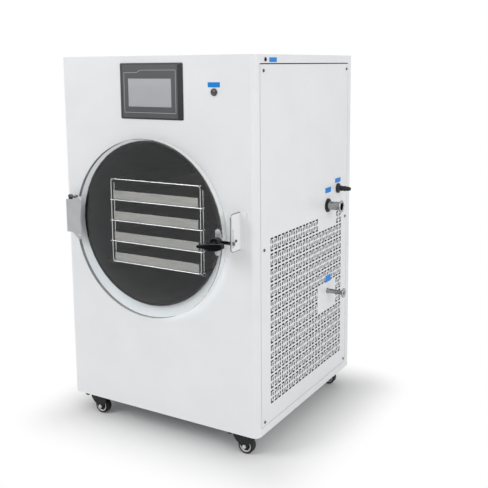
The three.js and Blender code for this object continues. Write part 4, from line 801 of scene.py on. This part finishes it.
# %% Seam strips of painted shade
SEAM_LOW, SEAM_HIGH, SEAM_IN, SEAM_DEEP = 1133.2, 1136.2, 0.5, 1.4
UPRIGHT_LEFT, UPRIGHT_RIGHT = PANEL_FRONT - 1.35, PANEL_FRONT - 0.35
seam_shade = bmesh.new()
for strip in (rectangle(PANEL_FRONT + 1, PANEL_REAR - 1, SEAM_LOW, SEAM_HIGH),
              rectangle(UPRIGHT_LEFT, UPRIGHT_RIGHT, PANEL_LOW, SEAM_HIGH)):
    prism(seam_shade, strip, on_right, -SEAM_DEEP, -SEAM_IN)
# The strips' black is painted shade for the dark of the joints.
piece("seam_shade_strip", seam_shade, "cabinet", seal_rubber, "black_rubber")

# %% [markdown]
# ## Panel screws
# The side and rear panels are held by slotted pan-head screws. A head is a low disc, and its slot
# is the gap between two half discs on top. Cutting a groove with a boolean would work too, but
# two half outlines give clean edges that take a rounding well.

# %% Screws
def half_disc(radius, across, up, slot, angle, side, count=14):
    """One side of a screw head, bounded by its slot."""
    start = math.asin(slot / 2 / radius)
    points = []
    for k in range(count + 1):
        turn_by = start + (math.pi - 2 * start) * k / count
        u, v = radius * math.cos(turn_by), side * radius * math.sin(turn_by)
        c, s = math.cos(angle), math.sin(angle)
        points.append((across + u * c - v * s, up + u * s + v * c))
    return points


def slotted_screw(bm, face, across, up, radius, height, angle):
    prism(bm, circle(radius, across, up, 28), face, 0, height * 0.55)
    for side in (-1, 1):
        half = half_disc(radius - 0.3, across, up, radius * 0.3, angle, side)
        prism(bm, half, face, height * 0.5, height)


SCREW_HEIGHTS = (1116, 617, 105)
SCREW_RADIUS, SCREW_PROUD = 4.6, 2.2
FIRST_TURN, COLUMN_TURN, LEVEL_TURN = 0.6, 1.1, 0.7
SCREW_SPOTS = {
    "right_panel_screws": (on_right, (-284, 283)),
    "left_panel_screws": (on_left, (-284, 283)),
    "rear_panel_screws": (on_rear, (-311, 311)),
}
for name, (face, columns) in SCREW_SPOTS.items():
    screws = bmesh.new()
    for number, across in enumerate(columns):
        for level, up in enumerate(SCREW_HEIGHTS):
            slot_turn = FIRST_TURN + COLUMN_TURN * number + LEVEL_TURN * level
            slotted_screw(screws, face, across, up, SCREW_RADIUS, SCREW_PROUD, slot_turn)
    piece(name, screws, "cabinet", screw_steel, "steel", width=0.25, flatten=0)

# %% [markdown]
# ## The clear door
# The door is one turned disc, thick enough to hold back the atmosphere. The solid is a wheel of
# flat facets, which would show as kinks in a polished edge, so a finer disc stands for it. Its
# edges are rounded in the profile itself, and the rim takes the frosted finish.

# %% Door disc
DOOR_MIDDLE = (-10, 0, 653)
DOOR_RADIUS, DOOR_FRONT, DOOR_BACK, DOOR_EDGE = 269, -359.3, -335.3, 2.0
door = bmesh.new()
front_edge = soft_corner(DOOR_RADIUS, DOOR_FRONT, DOOR_EDGE, -1, 1)
back_edge = soft_corner(DOOR_RADIUS, DOOR_BACK, DOOR_EDGE, -1, -1)
outline = [(0, DOOR_FRONT)] + front_edge[::-1] + back_edge + [(0, DOOR_BACK)]
turned(door, outline, "y", DOOR_MIDDLE, 180)
door.faces.ensure_lookup_table()
for face in door.faces:
    height = [corner.co.y for corner in face.verts]
    face.material_index = 1 if max(height) - min(height) > 10 else 0
piece("clear_door", door, "door", [polished_acrylic, turned_acrylic], "clear_acrylic",
      ["door_disc"], crisp=60)

# %% [markdown]
# ## The wire rack
# The rack is bent from round steel wire: a closed frame in front and one at the back, each with
# cross wires, joined by side rails on every level. Behind the front frame two upright runners
# guide the trays, and the right one carries a small clip and hook at each level. The solid has
# six-sided rods. Round wire with bent corners stands for it, because the bends catch small bright
# highlights.

# %% Rack
RACK_LEFT, RACK_RIGHT, RACK_FRONT, RACK_REAR = -173, 157, -303, 167
RACK_LEVELS = [529 + 65 * level for level in range(5)]
WIRE, BEND, OVERRUN = 1.9, 9.0, 5.5
RUNNER_FRONT, RUNNER_TOP = -289, RACK_LEVELS[-1] - 14
CLIP, CLIP_END, CLIP_SHOULDER = 4.6, 4, 3


def framed(y):
    loop = rounded_rectangle(RACK_LEFT, RACK_RIGHT, RACK_LEVELS[0], RACK_LEVELS[-1], BEND)
    return [(x, y, z) for x, z in loop]


rack = bmesh.new()
for y in (RACK_FRONT, RACK_REAR):
    wire(rack, framed(y), WIRE, closed=True)
    for z in RACK_LEVELS[1:-1]:
        wire(rack, [(RACK_LEFT - OVERRUN, y, z), (0, y, z), (RACK_RIGHT + OVERRUN, y, z)], WIRE)
for x in (RACK_LEFT, RACK_RIGHT):
    for z in RACK_LEVELS:
        wire(rack, [(x, RACK_FRONT, z), (x, 0, z), (x, RACK_REAR, z)], WIRE)
for x in (RACK_LEFT, RACK_RIGHT):
    wire(rack, [(x, RUNNER_FRONT, RACK_LEVELS[0]), (x, RUNNER_FRONT, RUNNER_TOP)], WIRE)
for z in RACK_LEVELS[:-1]:
    clip = [(WIRE, z - CLIP_END), (CLIP, z - CLIP_SHOULDER),
            (CLIP, z + CLIP_SHOULDER), (WIRE, z + CLIP_END)]
    turned(rack, clip, "z", (RACK_RIGHT, RUNNER_FRONT, 0), 16)
    hook_end = (RACK_RIGHT + 4 * WIRE, RUNNER_FRONT - 3 * WIRE, z)
    wire(rack, [(RACK_RIGHT + CLIP, RUNNER_FRONT, z), hook_end], WIRE / 2)
piece("wire_rack", rack, "cabinet", bright_steel, "steel", ["tray_rack"], crisp=60)

# %% [markdown]
# ## The latch lever
# The lever is a moulded grip that swings the tongue behind the strike. Its outline is a long
# teardrop: thin at the tip, deep under the hub. The solid's curve has few steps, so the outline is
# drawn again with more, and a wide rounding gives it the look of a moulded handle.

# %% Lever
LATCH_AT = (249, 647)
TIP, HEEL, HEEL_TOP, SHOULDER, BELLY, LEVER_END, LEVER_CORNER = 54, 34, 3, 8, 24, 17, 6
LEVER_BACK, LEVER_FRONT = 60.2, 74.2
HUB_RADIUS, HUB_BACK = 14.5, 43.2


def curve(start, pull, end, count=8):
    """Points of a curve that leaves a start towards a pull point and arrives at an end."""
    points = []
    for k in range(1, count + 1):
        t = k / count
        near, middle, far = (1 - t) ** 2, 2 * t * (1 - t), t ** 2
        points.append(tuple(near * a + middle * b + far * c for a, b, c in zip(start, pull, end)))
    return points


def lever_outline():
    tip, heel = LEVER_CORNER - TIP, HEEL - LEVER_CORNER
    stops = [
        ((-TIP - 3, -(SHOULDER + LEVER_END) / 2), (tip, -LEVER_END)),
        ((tip / 2, -LEVER_END), (-TIP / 5, 2 - BELLY)),
        ((HEEL / 4, -BELLY), (heel, 3 - LEVER_END)),
        ((HEEL, 6 - LEVER_END), (HEEL, -SHOULDER)),
        ((HEEL, -5.5), (HEEL, -3)),
        ((HEEL, HEEL_TOP), (heel, HEEL_TOP)),
        ((0, HEEL_TOP), (tip, -SHOULDER)),
    ]
    points = [(tip, -SHOULDER)]
    for pull, end in stops:
        points += curve(points[-1], pull, end)
    return [(LATCH_AT[0] + x, LATCH_AT[1] + z) for x, z in points[:-1]]


lever = bmesh.new()
prism(lever, lever_outline(), on_front, LEVER_BACK, LEVER_FRONT)
hub = [(0, -HUB_BACK), (HUB_RADIUS - 1, -HUB_BACK), (HUB_RADIUS, -HUB_BACK - 1),
       (HUB_RADIUS, -LEVER_BACK - 0.5), (0, -LEVER_BACK - 0.5)]
turned(lever, hub, "y", (LATCH_AT[0], -HALF_DEPTH, LATCH_AT[1]), 40)
piece("lever_grip", lever, "latch", lever_plastic, "black_plastic", ["latch_lever"],
      width=2.4, segments=4, limit=50, flatten=0)

# %% [markdown]
# ## The touch panel
# The control screen sits in a moulded bezel. Its flanks slope back, and they take a darker copy of the
# bezel's grey: painted shade for the way the slopes turn from the light. Its face is a mid grey, and a
# thin light line runs round the screen with one step at the upper left. The solid is a plain
# bevelled slab, so the bezel is built again in three parts: housing with flanks, face and line.

# %% Bezel
PANEL_LEFT, PANEL_RIGHT, PANEL_BOTTOM, PANEL_TOP = -113, 113, 976.5, 1139.5
FACE_LEFT, FACE_RIGHT, FACE_BOTTOM, FACE_TOP = -101, 97, 981.5, 1134.5
SCREEN_LEFT, SCREEN_RIGHT, SCREEN_BOTTOM, SCREEN_TOP = -81, 75, 1013, 1095
FLANK_LOW, FLANK_HIGH, FACE_PROUD, HOUSING_DEEP, HOUSING_IN = 1.6, 5.2, 6.0, 38, 10
panel_outline = rounded_rectangle(PANEL_LEFT, PANEL_RIGHT, PANEL_BOTTOM, PANEL_TOP, 4)
face_outline = rounded_rectangle(FACE_LEFT, FACE_RIGHT, FACE_BOTTOM, FACE_TOP, 2.5)
window = rounded_rectangle(SCREEN_LEFT, SCREEN_RIGHT, SCREEN_BOTTOM, SCREEN_TOP, 1.2)

bezel = bmesh.new()
prism(bezel, rectangle(PANEL_LEFT + HOUSING_IN, PANEL_RIGHT - HOUSING_IN,
                       PANEL_BOTTOM + HOUSING_IN, PANEL_TOP - HOUSING_IN), on_front, -HOUSING_DEEP, -0.5)
rings = [[bezel.verts.new(on_front(x, z, proud)) for x, z in outline] for outline, proud in (
    (panel_outline, 0), (panel_outline, FLANK_LOW), (face_outline, FLANK_HIGH), (face_outline, 1.0))]
for low, high in zip(rings, rings[1:]):
    for k in range(len(low)):
        after = (k + 1) % len(low)
        bezel.faces.new((low[k], low[after], high[after], high[k]))
bezel.faces.new(rings[0])
bezel.faces.new(rings[-1])
piece("panel_flanks", bezel, "cabinet", shaded_flank_plastic, "dark_plastic", ["touch_panel"], width=0.4)

face = bmesh.new()
sheet_metal(face, flat_net(face_outline, [window]), on_front, FACE_PROUD - 2.4, FACE_PROUD)
piece("panel_face", face, "cabinet", bezel_plastic, "dark_plastic", width=0.5)

# %% Light line round the screen
LINE_LEFT, LINE_RIGHT, LINE_BOTTOM, LINE_TOP, LINE_SHOULDER = -95, 91, 996, 1119, 1112
line = bmesh.new()
path = [(LINE_LEFT, LINE_BOTTOM), (LINE_RIGHT, LINE_BOTTOM), (LINE_RIGHT, LINE_TOP), (-35, LINE_TOP),
        (-48, LINE_SHOULDER), (LINE_LEFT, LINE_SHOULDER)]
LINE_WIDE = 1.3
for (x0, z0), (x1, z1) in zip(path, path[1:] + path[:1]):
    run = Vector((x1 - x0, z1 - z0)).normalized()
    side = Vector((-run.y, run.x)) * LINE_WIDE / 2
    reach = run * LINE_WIDE / 2
    ends = [(x0 - reach.x, z0 - reach.y), (x1 + reach.x, z1 + reach.y)]
    outline = [(x - s * side.x, z - s * side.y) for s in (1, -1) for x, z in ends[::s]]
    prism(line, outline, on_front, FACE_PROUD - 0.4, FACE_PROUD + 0.3)
piece("panel_line", line, "cabinet", line_plastic, "dark_plastic")

# %% [markdown]
# ## Ports on the side
# Three pipes leave the chamber through the side panel: the wide one goes to the vacuum pump, the
# narrow one drains melt water and the black nozzle lets air back in. All are turned parts, so each
# is one profile turned about the pipe's axis, with more facets than the solid has.

# %% Vacuum pipe and grommet
PIPE_OUTER, PIPE_INNER, PIPE_START, PIPE_END = 14, 12.5, 234.4, 400
FLANGE_RADIUS, FLANGE_THICK, FLANGE_EDGE = 20, 4, 0.8
pipe = bmesh.new()
profile = [
    (PIPE_INNER, PIPE_START), (PIPE_OUTER, PIPE_START), (PIPE_OUTER, PIPE_END - FLANGE_THICK),
    (FLANGE_RADIUS - FLANGE_EDGE, PIPE_END - FLANGE_THICK),
    (FLANGE_RADIUS, PIPE_END - FLANGE_THICK + FLANGE_EDGE), (FLANGE_RADIUS, PIPE_END - FLANGE_EDGE),
    (FLANGE_RADIUS - FLANGE_EDGE, PIPE_END), (PIPE_INNER + 0.6, PIPE_END), (PIPE_INNER, PIPE_END - 0.6),
]
turned(pipe, profile, "x", (0, *VACUUM_AT), 72, closed=True)
piece("vacuum_flange_pipe", pipe, "cabinet", pipe_steel, "steel", ["vacuum_pipe"])

LIP_RADIUS, NECK_RADIUS, LIP = 22.5, 18, 4
inner, outer = HALF_WIDTH - SHEET, HALF_WIDTH
grommet = bmesh.new()
profile = [
    (PIPE_OUTER + 0.3, inner - LIP), (LIP_RADIUS - 1.2, inner - LIP), (LIP_RADIUS, inner - LIP + 1.2),
    (LIP_RADIUS, inner - 0.2), (NECK_RADIUS, inner - 0.2), (NECK_RADIUS, outer + 0.2),
    (LIP_RADIUS, outer + 0.2), (LIP_RADIUS, outer + LIP - 1.4), (LIP_RADIUS - 0.5, outer + LIP - 0.5),
    (LIP_RADIUS - 1.6, outer + LIP), (PIPE_OUTER + 1.2, outer + LIP),
    (PIPE_OUTER + 0.3, outer + LIP - 0.9),
]
turned(grommet, profile, "x", (0, *VACUUM_AT), 64, closed=True)
piece("pipe_grommet", grommet, "cabinet", seal_rubber, "black_rubber", ["vacuum_grommet"])

# %% [markdown]
# ## Drain pipe
# Melt water leaves through a narrow pipe whose end flares into a small clamp flange. Behind the
# panel it bends up to the chamber. The bend is drawn as two straight turned rods that meet, since
# it can't be seen, and only the outer end has a bore.

# %% Drain
DRAIN_RADIUS, DRAIN_END, DRAIN_FLANGE, DRAIN_BORE, DRAIN_DEEP = 7.5, 410, 16, 5, 30
CHAMBER_X, STUB_TALL = -8, 34.7
drain = bmesh.new()
profile = [
    (0, CHAMBER_X), (DRAIN_RADIUS, CHAMBER_X), (DRAIN_RADIUS, DRAIN_END - 9),
    (DRAIN_FLANGE - 0.6, DRAIN_END - 3.4), (DRAIN_FLANGE, DRAIN_END - 2.6),
    (DRAIN_FLANGE, DRAIN_END - 0.6), (DRAIN_FLANGE - 0.6, DRAIN_END), (DRAIN_BORE + 0.5, DRAIN_END),
    (DRAIN_BORE, DRAIN_END - 0.5), (DRAIN_BORE, DRAIN_END - DRAIN_DEEP), (0, DRAIN_END - DRAIN_DEEP),
]
turned(drain, profile, "x", (0, *DRAIN_AT), 48)
stub = [(0, 0), (DRAIN_RADIUS, 0), (DRAIN_RADIUS, STUB_TALL), (0, STUB_TALL)]
turned(drain, stub, "z", (CHAMBER_X, *DRAIN_AT), 32)
piece("drain_flange_pipe", drain, "cabinet", pipe_steel, "steel", ["drain_pipe"])

# %% [markdown]
# ## Vent nozzle and sensor socket
# The nozzle is moulded with a collar and two barbs that grip a hose, and the small socket at the
# top takes a sensor's plug. Barbs could be modelled one by one, but on a turned part each is just
# two more points of the profile.

# %% Nozzle and socket
nozzle = bmesh.new()
profile = [
    (3, -20), (8, -20), (8, 0), (16.5, 0), (16.5, 4.4), (15.9, 5.6), (13.2, 7), (9.4, 9.5), (8.2, 23),
    (9.2, 25.6), (9.2, 26.6), (6.2, 35), (8.0, 35.4), (8.0, 36.2), (5.2, 46), (3.4, 46), (3, 45.4),
]
turned(nozzle, profile, "x", (HALF_WIDTH, *NOZZLE_AT), 40, closed=True)
piece("barbed_nozzle", nozzle, "cabinet", lever_plastic, "black_plastic", ["vent_nozzle"])

SOCKET_AT = (-273, 1146)
socket = bmesh.new()
profile = [
    (0, -12), (5, -12), (5, 0), (6, 0), (6, 1.3), (5.3, 2), (3.9, 2), (3.5, 1.6), (3.5, -4), (0, -4),
]
turned(socket, profile, "x", (HALF_WIDTH, *SOCKET_AT), 32)
piece("sensor_socket", socket, "cabinet", lever_plastic, "black_plastic", ["panel_socket"])

# %% [markdown]
# ## Blank labels
# Small blue films name each port and the key switch. They carry no words here, only the film and
# its pale cut edge. A film is a fifth of a millimetre thick, which is enough to catch a line of
# light round it.

# %% Labels
FILM, FILM_EDGE = 0.2, 0.7
LABELS = {
    "label_key": (on_front, 195.5, 236.5, 1070.5, 1085.5),
    "label_top": (on_right, -252, -207, 1138, 1152),
    "label_nozzle": (on_right, 199, 244, 742, 758),
    "label_vacuum": (on_right, 122, 167, 718, 736),
    "label_drain": (on_right, 127, 172, 418, 442),
}
for name, (face, left, right, low, high) in LABELS.items():
    film = bmesh.new()
    prism(film, rounded_rectangle(left, right, low, high, 1.5), face, 0.02, FILM * 0.7)
    inside = (left + FILM_EDGE, right - FILM_EDGE, low + FILM_EDGE, high - FILM_EDGE)
    edge_faces = len(film.faces)
    prism(film, rounded_rectangle(*inside, 1.2), face, FILM * 0.5, FILM)
    film.faces.ensure_lookup_table()
    for face_drawn in film.faces[:edge_faces]:
        face_drawn.material_index = 1
    piece(name, film, "cabinet", [blue_film, film_edge], "dark_plastic")

# %% [markdown]
# ## Caster wheels
# Each wheel is a grey hub with a rubber tyre pressed on, and a dished middle. The solid is a
# faceted wheel; here the tyre, the hub ring and the dish are turned as one piece with three
# finishes, so that the tyre's shoulder stays round where it meets the floor. The axle's nuts are
# on the fork, because they don't turn with the wheel.

# %% Wheels
WHEEL_RADIUS, HUB_EDGE, DISH_EDGE, WHEEL_Z, TRAIL = 25, 18.6, 14.6, 25, 18
CASTER_X, CASTER_Y = 275, 290
NUT_RADIUS, NUT_START, NUT_END = 6.6, 15.8, 19.0
AXLE_RADIUS, AXLE_START, AXLE_END = 3.6, 18.6, 20.6
half_wheel = [
    (4.4, 8.6), (10, 8.6), (14.5, 9.4), (16.2, 11.2), (17.6, 11.7), (HUB_EDGE, 11.3),
    (HUB_EDGE + 0.5, 10.8), (20.5, 12), (22.4, 11.8), (24.0, 10.6), (24.8, 8.8), (WHEEL_RADIUS, 6.5),
]
for front_rear, y in (("front", -CASTER_Y), ("rear", CASTER_Y)):
    for left_right, x in (("left", -CASTER_X), ("right", CASTER_X)):
        corner = f"{front_rear}_{left_right}"
        wheel = bmesh.new()
        profile = half_wheel + [(radius, -station) for radius, station in half_wheel[::-1]]
        turned(wheel, profile, "y", (x + TRAIL, y, WHEEL_Z), 64, closed=True)
        for drawn in wheel.faces:
            middle = drawn.calc_center_median() - Vector((x + TRAIL, y, WHEEL_Z))
            out = math.hypot(middle.x, middle.z)
            drawn.material_index = 0 if out > HUB_EDGE else (1 if out > DISH_EDGE else 2)
        piece(f"wheel_{corner}", wheel, f"wheel_{corner}", [tyre_rubber, hub_plastic, lever_plastic],
              "tyre_rubber", [f"caster_wheel_{corner}"], crisp=40)
        nuts = bmesh.new()
        for side in (-1, 1):
            face = (lambda u, v, w, y=y, side=side: Vector((u, y + side * w, v)))
            prism(nuts, circle(NUT_RADIUS, x + TRAIL, WHEEL_Z, 6), face, NUT_START, NUT_END)
            prism(nuts, circle(AXLE_RADIUS, x + TRAIL, WHEEL_Z, 20), face, AXLE_START, AXLE_END)
        piece(f"axle_nuts_{corner}", nuts, f"fork_{corner}", hub_plastic, "steel", width=0.5)

# %% [markdown]
# ## Louvres at the back
# The rear panel lets warm air out through nine louvres. A press tool cuts a slit and pushes the
# metal above it out into a hood. The solid has the slits, so only the hoods are added: each is a
# quarter-round sheet whose ends close like half a shell, thickened by a modifier.

# %% Hoods
LOUVRES, LOUVRE_LEFT, LOUVRE_LONG, LOUVRE_LOW, LOUVRE_PITCH = 9, 20, 200, 148, 20
HOOD_TALL, HOOD_DEEP, HOOD_END, HOOD_RISE, HOOD_SHEET = 11, 7, 12, 9.5, 1.2
LOW_END = 0.25
hoods = bmesh.new()
ACROSS_STEPS, ARC_STEPS = 40, 8
for number in range(LOUVRES):
    top = LOUVRE_LOW + number * LOUVRE_PITCH + HOOD_RISE
    columns = []
    for k in range(ACROSS_STEPS + 1):
        across = LOUVRE_LONG * k / ACROSS_STEPS
        short = min(across, LOUVRE_LONG - across, HOOD_END) / HOOD_END
        swell = math.sqrt(max(0.0, 1 - (1 - short) ** 2))
        column = []
        for j in range(ARC_STEPS + 1):
            angle = math.pi / 2 * j / ARC_STEPS
            up = top - HOOD_TALL * (1 - math.cos(angle)) * (LOW_END + (1 - LOW_END) * swell)
            proud = 0.1 + HOOD_DEEP * math.sin(angle) * swell
            column.append(hoods.verts.new(on_rear(LOUVRE_LEFT + across, up, proud)))
        columns.append(column)
    for left, right in zip(columns, columns[1:]):
        for j in range(ARC_STEPS):
            hoods.faces.new((left[j], right[j], right[j + 1], left[j + 1]))
hood_piece = piece("louvre_hoods", hoods, "cabinet", powder_coat, "white_paint", crisp=50)
thick = hood_piece.modifiers.new("sheet thickness", "SOLIDIFY")
thick.thickness = HOOD_SHEET * MM
thick.offset = -1

# %% [markdown]
# ## Hinge and strike screws
# The hinge pin ends in a knurled head, and beside it a set screw lies across the top of the leaf to
# take up play. The strike is held by a small dark screw, and its plate is edged by a drawn wire
# bead of darker steel, which paints the grey line of shade along the plate's front edge. They are
# tiny, but they are the only marks on pale metal, so the eye looks for them. All are turned or bent
# shapes, because that is how such small parts are made.

# %% Knurled head of the hinge pin
PIN_AT, PIN_TOP = (-311, -347), 725.3
KNOB_RADIUS, KNOB_FACETS, KNURLS_ON, KNURL, KNURL_LOW, KNURL_HIGH = 7.4, 30, 7.3, 0.7, 0.6, 7
knob = bmesh.new()
profile = [
    (0, 0), (KNOB_RADIUS - 1, 0), (KNOB_RADIUS, 1), (KNOB_RADIUS, 8.4), (KNOB_RADIUS - 1, 9.4),
    (3.2, 9.4), (3.2, 6), (0, 6),
]
turned(knob, profile, "z", (*PIN_AT, PIN_TOP - 1), KNOB_FACETS)
for k in range(0, KNOB_FACETS, 2):
    angle = 2 * math.pi * (k + 0.5) / KNOB_FACETS
    x, y = PIN_AT[0] + KNURLS_ON * math.cos(angle), PIN_AT[1] + KNURLS_ON * math.sin(angle)
    wire(knob, [(x, y, PIN_TOP + KNURL_LOW), (x, y, PIN_TOP + KNURL_HIGH)], KNURL, sides=6)
piece("pin_knob", knob, "cabinet", screw_steel, "black_steel", crisp=40)

# %% Set screw of the hinge
SET_SCREW_AT, SHANK, SHANK_START, HEAD_START, HEAD_END = (0, -352, 729), 3.4, -303, -287, -280.4
set_screw = bmesh.new()
shank = [(0, SHANK_START), (SHANK, SHANK_START), (SHANK, HEAD_START), (0, HEAD_START)]
head = [
    (0, HEAD_START), (5.6, HEAD_START), (6, HEAD_START + 0.6), (6, HEAD_END - 0.6), (5.4, HEAD_END),
    (0, HEAD_END),
]
turned(set_screw, shank, "x", SET_SCREW_AT, 20)
turned(set_screw, head, "x", SET_SCREW_AT, 24)
piece("hinge_set_screw", set_screw, "door", screw_steel, "black_steel", crisp=40)

# %% Strike bead and screw
STRIKE_PLANE, STRIKE_FRONT, STRIKE_LOW, STRIKE_HIGH = 296.25, -374, 623, 728
STRIKE_BEND, STRIKE_BEAD, BEND_STEPS = 10, 1.9, 6
STRIKE_BACK = -HALF_DEPTH - 2
bead = [(STRIKE_PLANE, STRIKE_BACK, STRIKE_HIGH)]
for middle, start in ((STRIKE_HIGH - STRIKE_BEND, 90), (STRIKE_LOW + STRIKE_BEND, 180)):
    for step in range(BEND_STEPS + 1):
        angle = math.radians(start + 90 * step / BEND_STEPS)
        y = STRIKE_FRONT + STRIKE_BEND * (1 + math.cos(angle))
        bead.append((STRIKE_PLANE, y, middle + STRIKE_BEND * math.sin(angle)))
bead.append((STRIKE_PLANE, STRIKE_BACK, STRIKE_LOW))
# The bead's darker steel paints the shade line along the strike plate's edge.
strike_shade_bead = bmesh.new()
wire(strike_shade_bead, bead, STRIKE_BEAD)
piece("strike_shade_bead", strike_shade_bead, "cabinet", pipe_steel, "steel", crisp=60)

strike_screw = bmesh.new()
profile = [(0, 0), (3.6, 0), (4, 0.4), (4, 2.2), (3.4, 3), (1.6, 3), (1.6, 1.8), (0, 1.8)]
turned(strike_screw, profile, "x", (298, -352, 652), 24)
piece("strike_screw", strike_screw, "cabinet", screw_steel, "steel", crisp=40)

# %% [markdown]
# ## Floor
# The floor is a plain pale disc that keeps the machine's soft shadow. Far away it has to melt into
# a white background, but a bright floor would throw light back on the object. So with distance
# it fades to plain white for the camera and for reflections only, and stays paint to the rest.

# %% Floor paint
FLOOR_RADIUS, FADE_START, FADE_END = 40.0, 0.0, 0.21
FOOTPRINT = (0.35, 0.33, 0.0)
SEEN = ("Is Camera Ray", "Is Glossy Ray", "Is Transmission Ray")


def seen_ray(tree):
    rays = add(tree, "ShaderNodeLightPath").outputs
    first = reckon(tree, "MAXIMUM", rays[SEEN[0]], rays[SEEN[1]])
    return reckon(tree, "MAXIMUM", first, rays[SEEN[2]])


floor_paint = bpy.data.materials.new("pale floor")
floor_paint.use_nodes = True
tree = floor_paint.node_tree
place = add(tree, "ShaderNodeTexCoord").outputs["Object"]
aside = add(tree, "ShaderNodeVectorMath", {0: place}, operation="ABSOLUTE").outputs[0]
beyond = add(tree, "ShaderNodeVectorMath", {0: aside, 1: FOOTPRINT}, operation="SUBTRACT").outputs[0]
outside = add(tree, "ShaderNodeVectorMath", {0: beyond, 1: (0, 0, 0)}, operation="MAXIMUM").outputs[0]
distance = add(tree, "ShaderNodeVectorMath", {0: outside}, operation="LENGTH").outputs["Value"]
far = add(tree, "ShaderNodeMapRange", {"Value": distance, "From Min": FADE_START, "From Max": FADE_END},
          interpolation_type="SMOOTHSTEP").outputs["Result"]
paint = tree.nodes["Principled BSDF"]
paint.inputs["Base Color"].default_value = srgb(246, 246, 246)
paint.inputs["Roughness"].default_value = 0.9
paint.inputs["Specular IOR Level"].default_value = 0.1
glow = add(tree, "ShaderNodeEmission", {"Color": (1, 1, 1, 1), "Strength": 1.0}).outputs["Emission"]
share = reckon(tree, "MULTIPLY", far, seen_ray(tree))
mixed = add(tree, "ShaderNodeMixShader", {0: share, 1: paint.outputs["BSDF"], 2: glow})
feed(tree, tree.nodes["Material Output"].inputs["Surface"], mixed.outputs["Shader"])

# %% Floor disc
disc = bmesh.new()
bmesh.ops.create_circle(disc, cap_ends=True, radius=FLOOR_RADIUS, segments=96)
floor_mesh = bpy.data.meshes.new("floor")
disc.to_mesh(floor_mesh)
disc.free()
floor = bpy.data.objects.new("floor", floor_mesh)
bpy.context.scene.collection.objects.link(floor)
floor_mesh.materials.append(floor_paint)

# %% [markdown]
# ## Light
# The studio is a white room: an even sky gives most of the light, a large soft lamp at the upper
# left shapes the front, and a weaker one at the right keeps the vented side open. The
# sky is pure white to the camera and to reflections, and dimmer as a lamp, so paint stays paint.

# %% Sky and lamps
SKY_LIGHT = 0.62
LAMPS_FACE = Vector((0, 0, 0.55))
sky = bpy.data.worlds.new("studio sky")
bpy.context.scene.world = sky
sky.use_nodes = True
tree = sky.node_tree
dim = add(tree, "ShaderNodeBackground", {"Color": (1, 1, 1, 1), "Strength": SKY_LIGHT}).outputs[0]
white = add(tree, "ShaderNodeBackground", {"Color": (1, 1, 1, 1), "Strength": 1.0}).outputs[0]
mixed = add(tree, "ShaderNodeMixShader", {0: seen_ray(tree), 1: dim, 2: white})
feed(tree, tree.nodes["World Output"].inputs["Surface"], mixed.outputs["Shader"])

LAMPS = {
    "key lamp": ((-1.9, -2.9, 2.9), 2.2, 49.0),
    "side lamp": ((3.2, -1.2, 2.0), 2.4, 35.0),
}
for name, (spot, size, watts) in LAMPS.items():
    lamp = bpy.data.lights.new(name, "AREA")
    lamp.shape = "DISK"
    lamp.size = size
    lamp.energy = watts
    holder = bpy.data.objects.new(name, lamp)
    holder.location = spot
    holder.rotation_mode = "QUATERNION"
    holder.rotation_quaternion = (LAMPS_FACE - Vector(spot)).to_track_quat("-Z", "Y")
    bpy.context.scene.collection.objects.link(holder)
print("lamps:", list(LAMPS))

# %% [markdown]
# ## A dark card
# In a white room both faces of the door would mirror white, and the chamber behind would look
# pale. In a real studio a black card is hung where the door mirrors it, and the same is done
# here. Only glossy rays meet the card, so it takes no light from the room and casts no shadow.

# %% Door card
CARD_SPOT, CARD_SIZE = (-0.645, -1.36, 0.5), (1.8, 1.1)
CARD_FACES = Vector((-0.04, -0.34, 0.65))
card_paint = bpy.data.materials.new("black card")
card_paint.use_nodes = True
tree = card_paint.node_tree
tree.nodes.remove(tree.nodes["Principled BSDF"])
card_dark = add(tree, "ShaderNodeEmission", {"Color": srgb(26, 26, 27), "Strength": 1.0})
feed(tree, tree.nodes["Material Output"].inputs["Surface"], card_dark.outputs["Emission"])
card_bm = bmesh.new()
bmesh.ops.create_grid(card_bm, x_segments=1, y_segments=1, size=0.5)
card_mesh = bpy.data.meshes.new("door card")
card_bm.to_mesh(card_mesh)
card_bm.free()
card = bpy.data.objects.new("door card", card_mesh)
card_mesh.materials.append(card_paint)
card.location = CARD_SPOT
card.scale = (*CARD_SIZE, 1)
card.rotation_mode = "QUATERNION"
card.rotation_quaternion = (CARD_FACES - Vector(CARD_SPOT)).to_track_quat("Z", "Y")
bpy.context.scene.collection.objects.link(card)
card.visible_camera = card.visible_diffuse = card.visible_shadow = False
card.visible_transmission = card.visible_volume_scatter = False
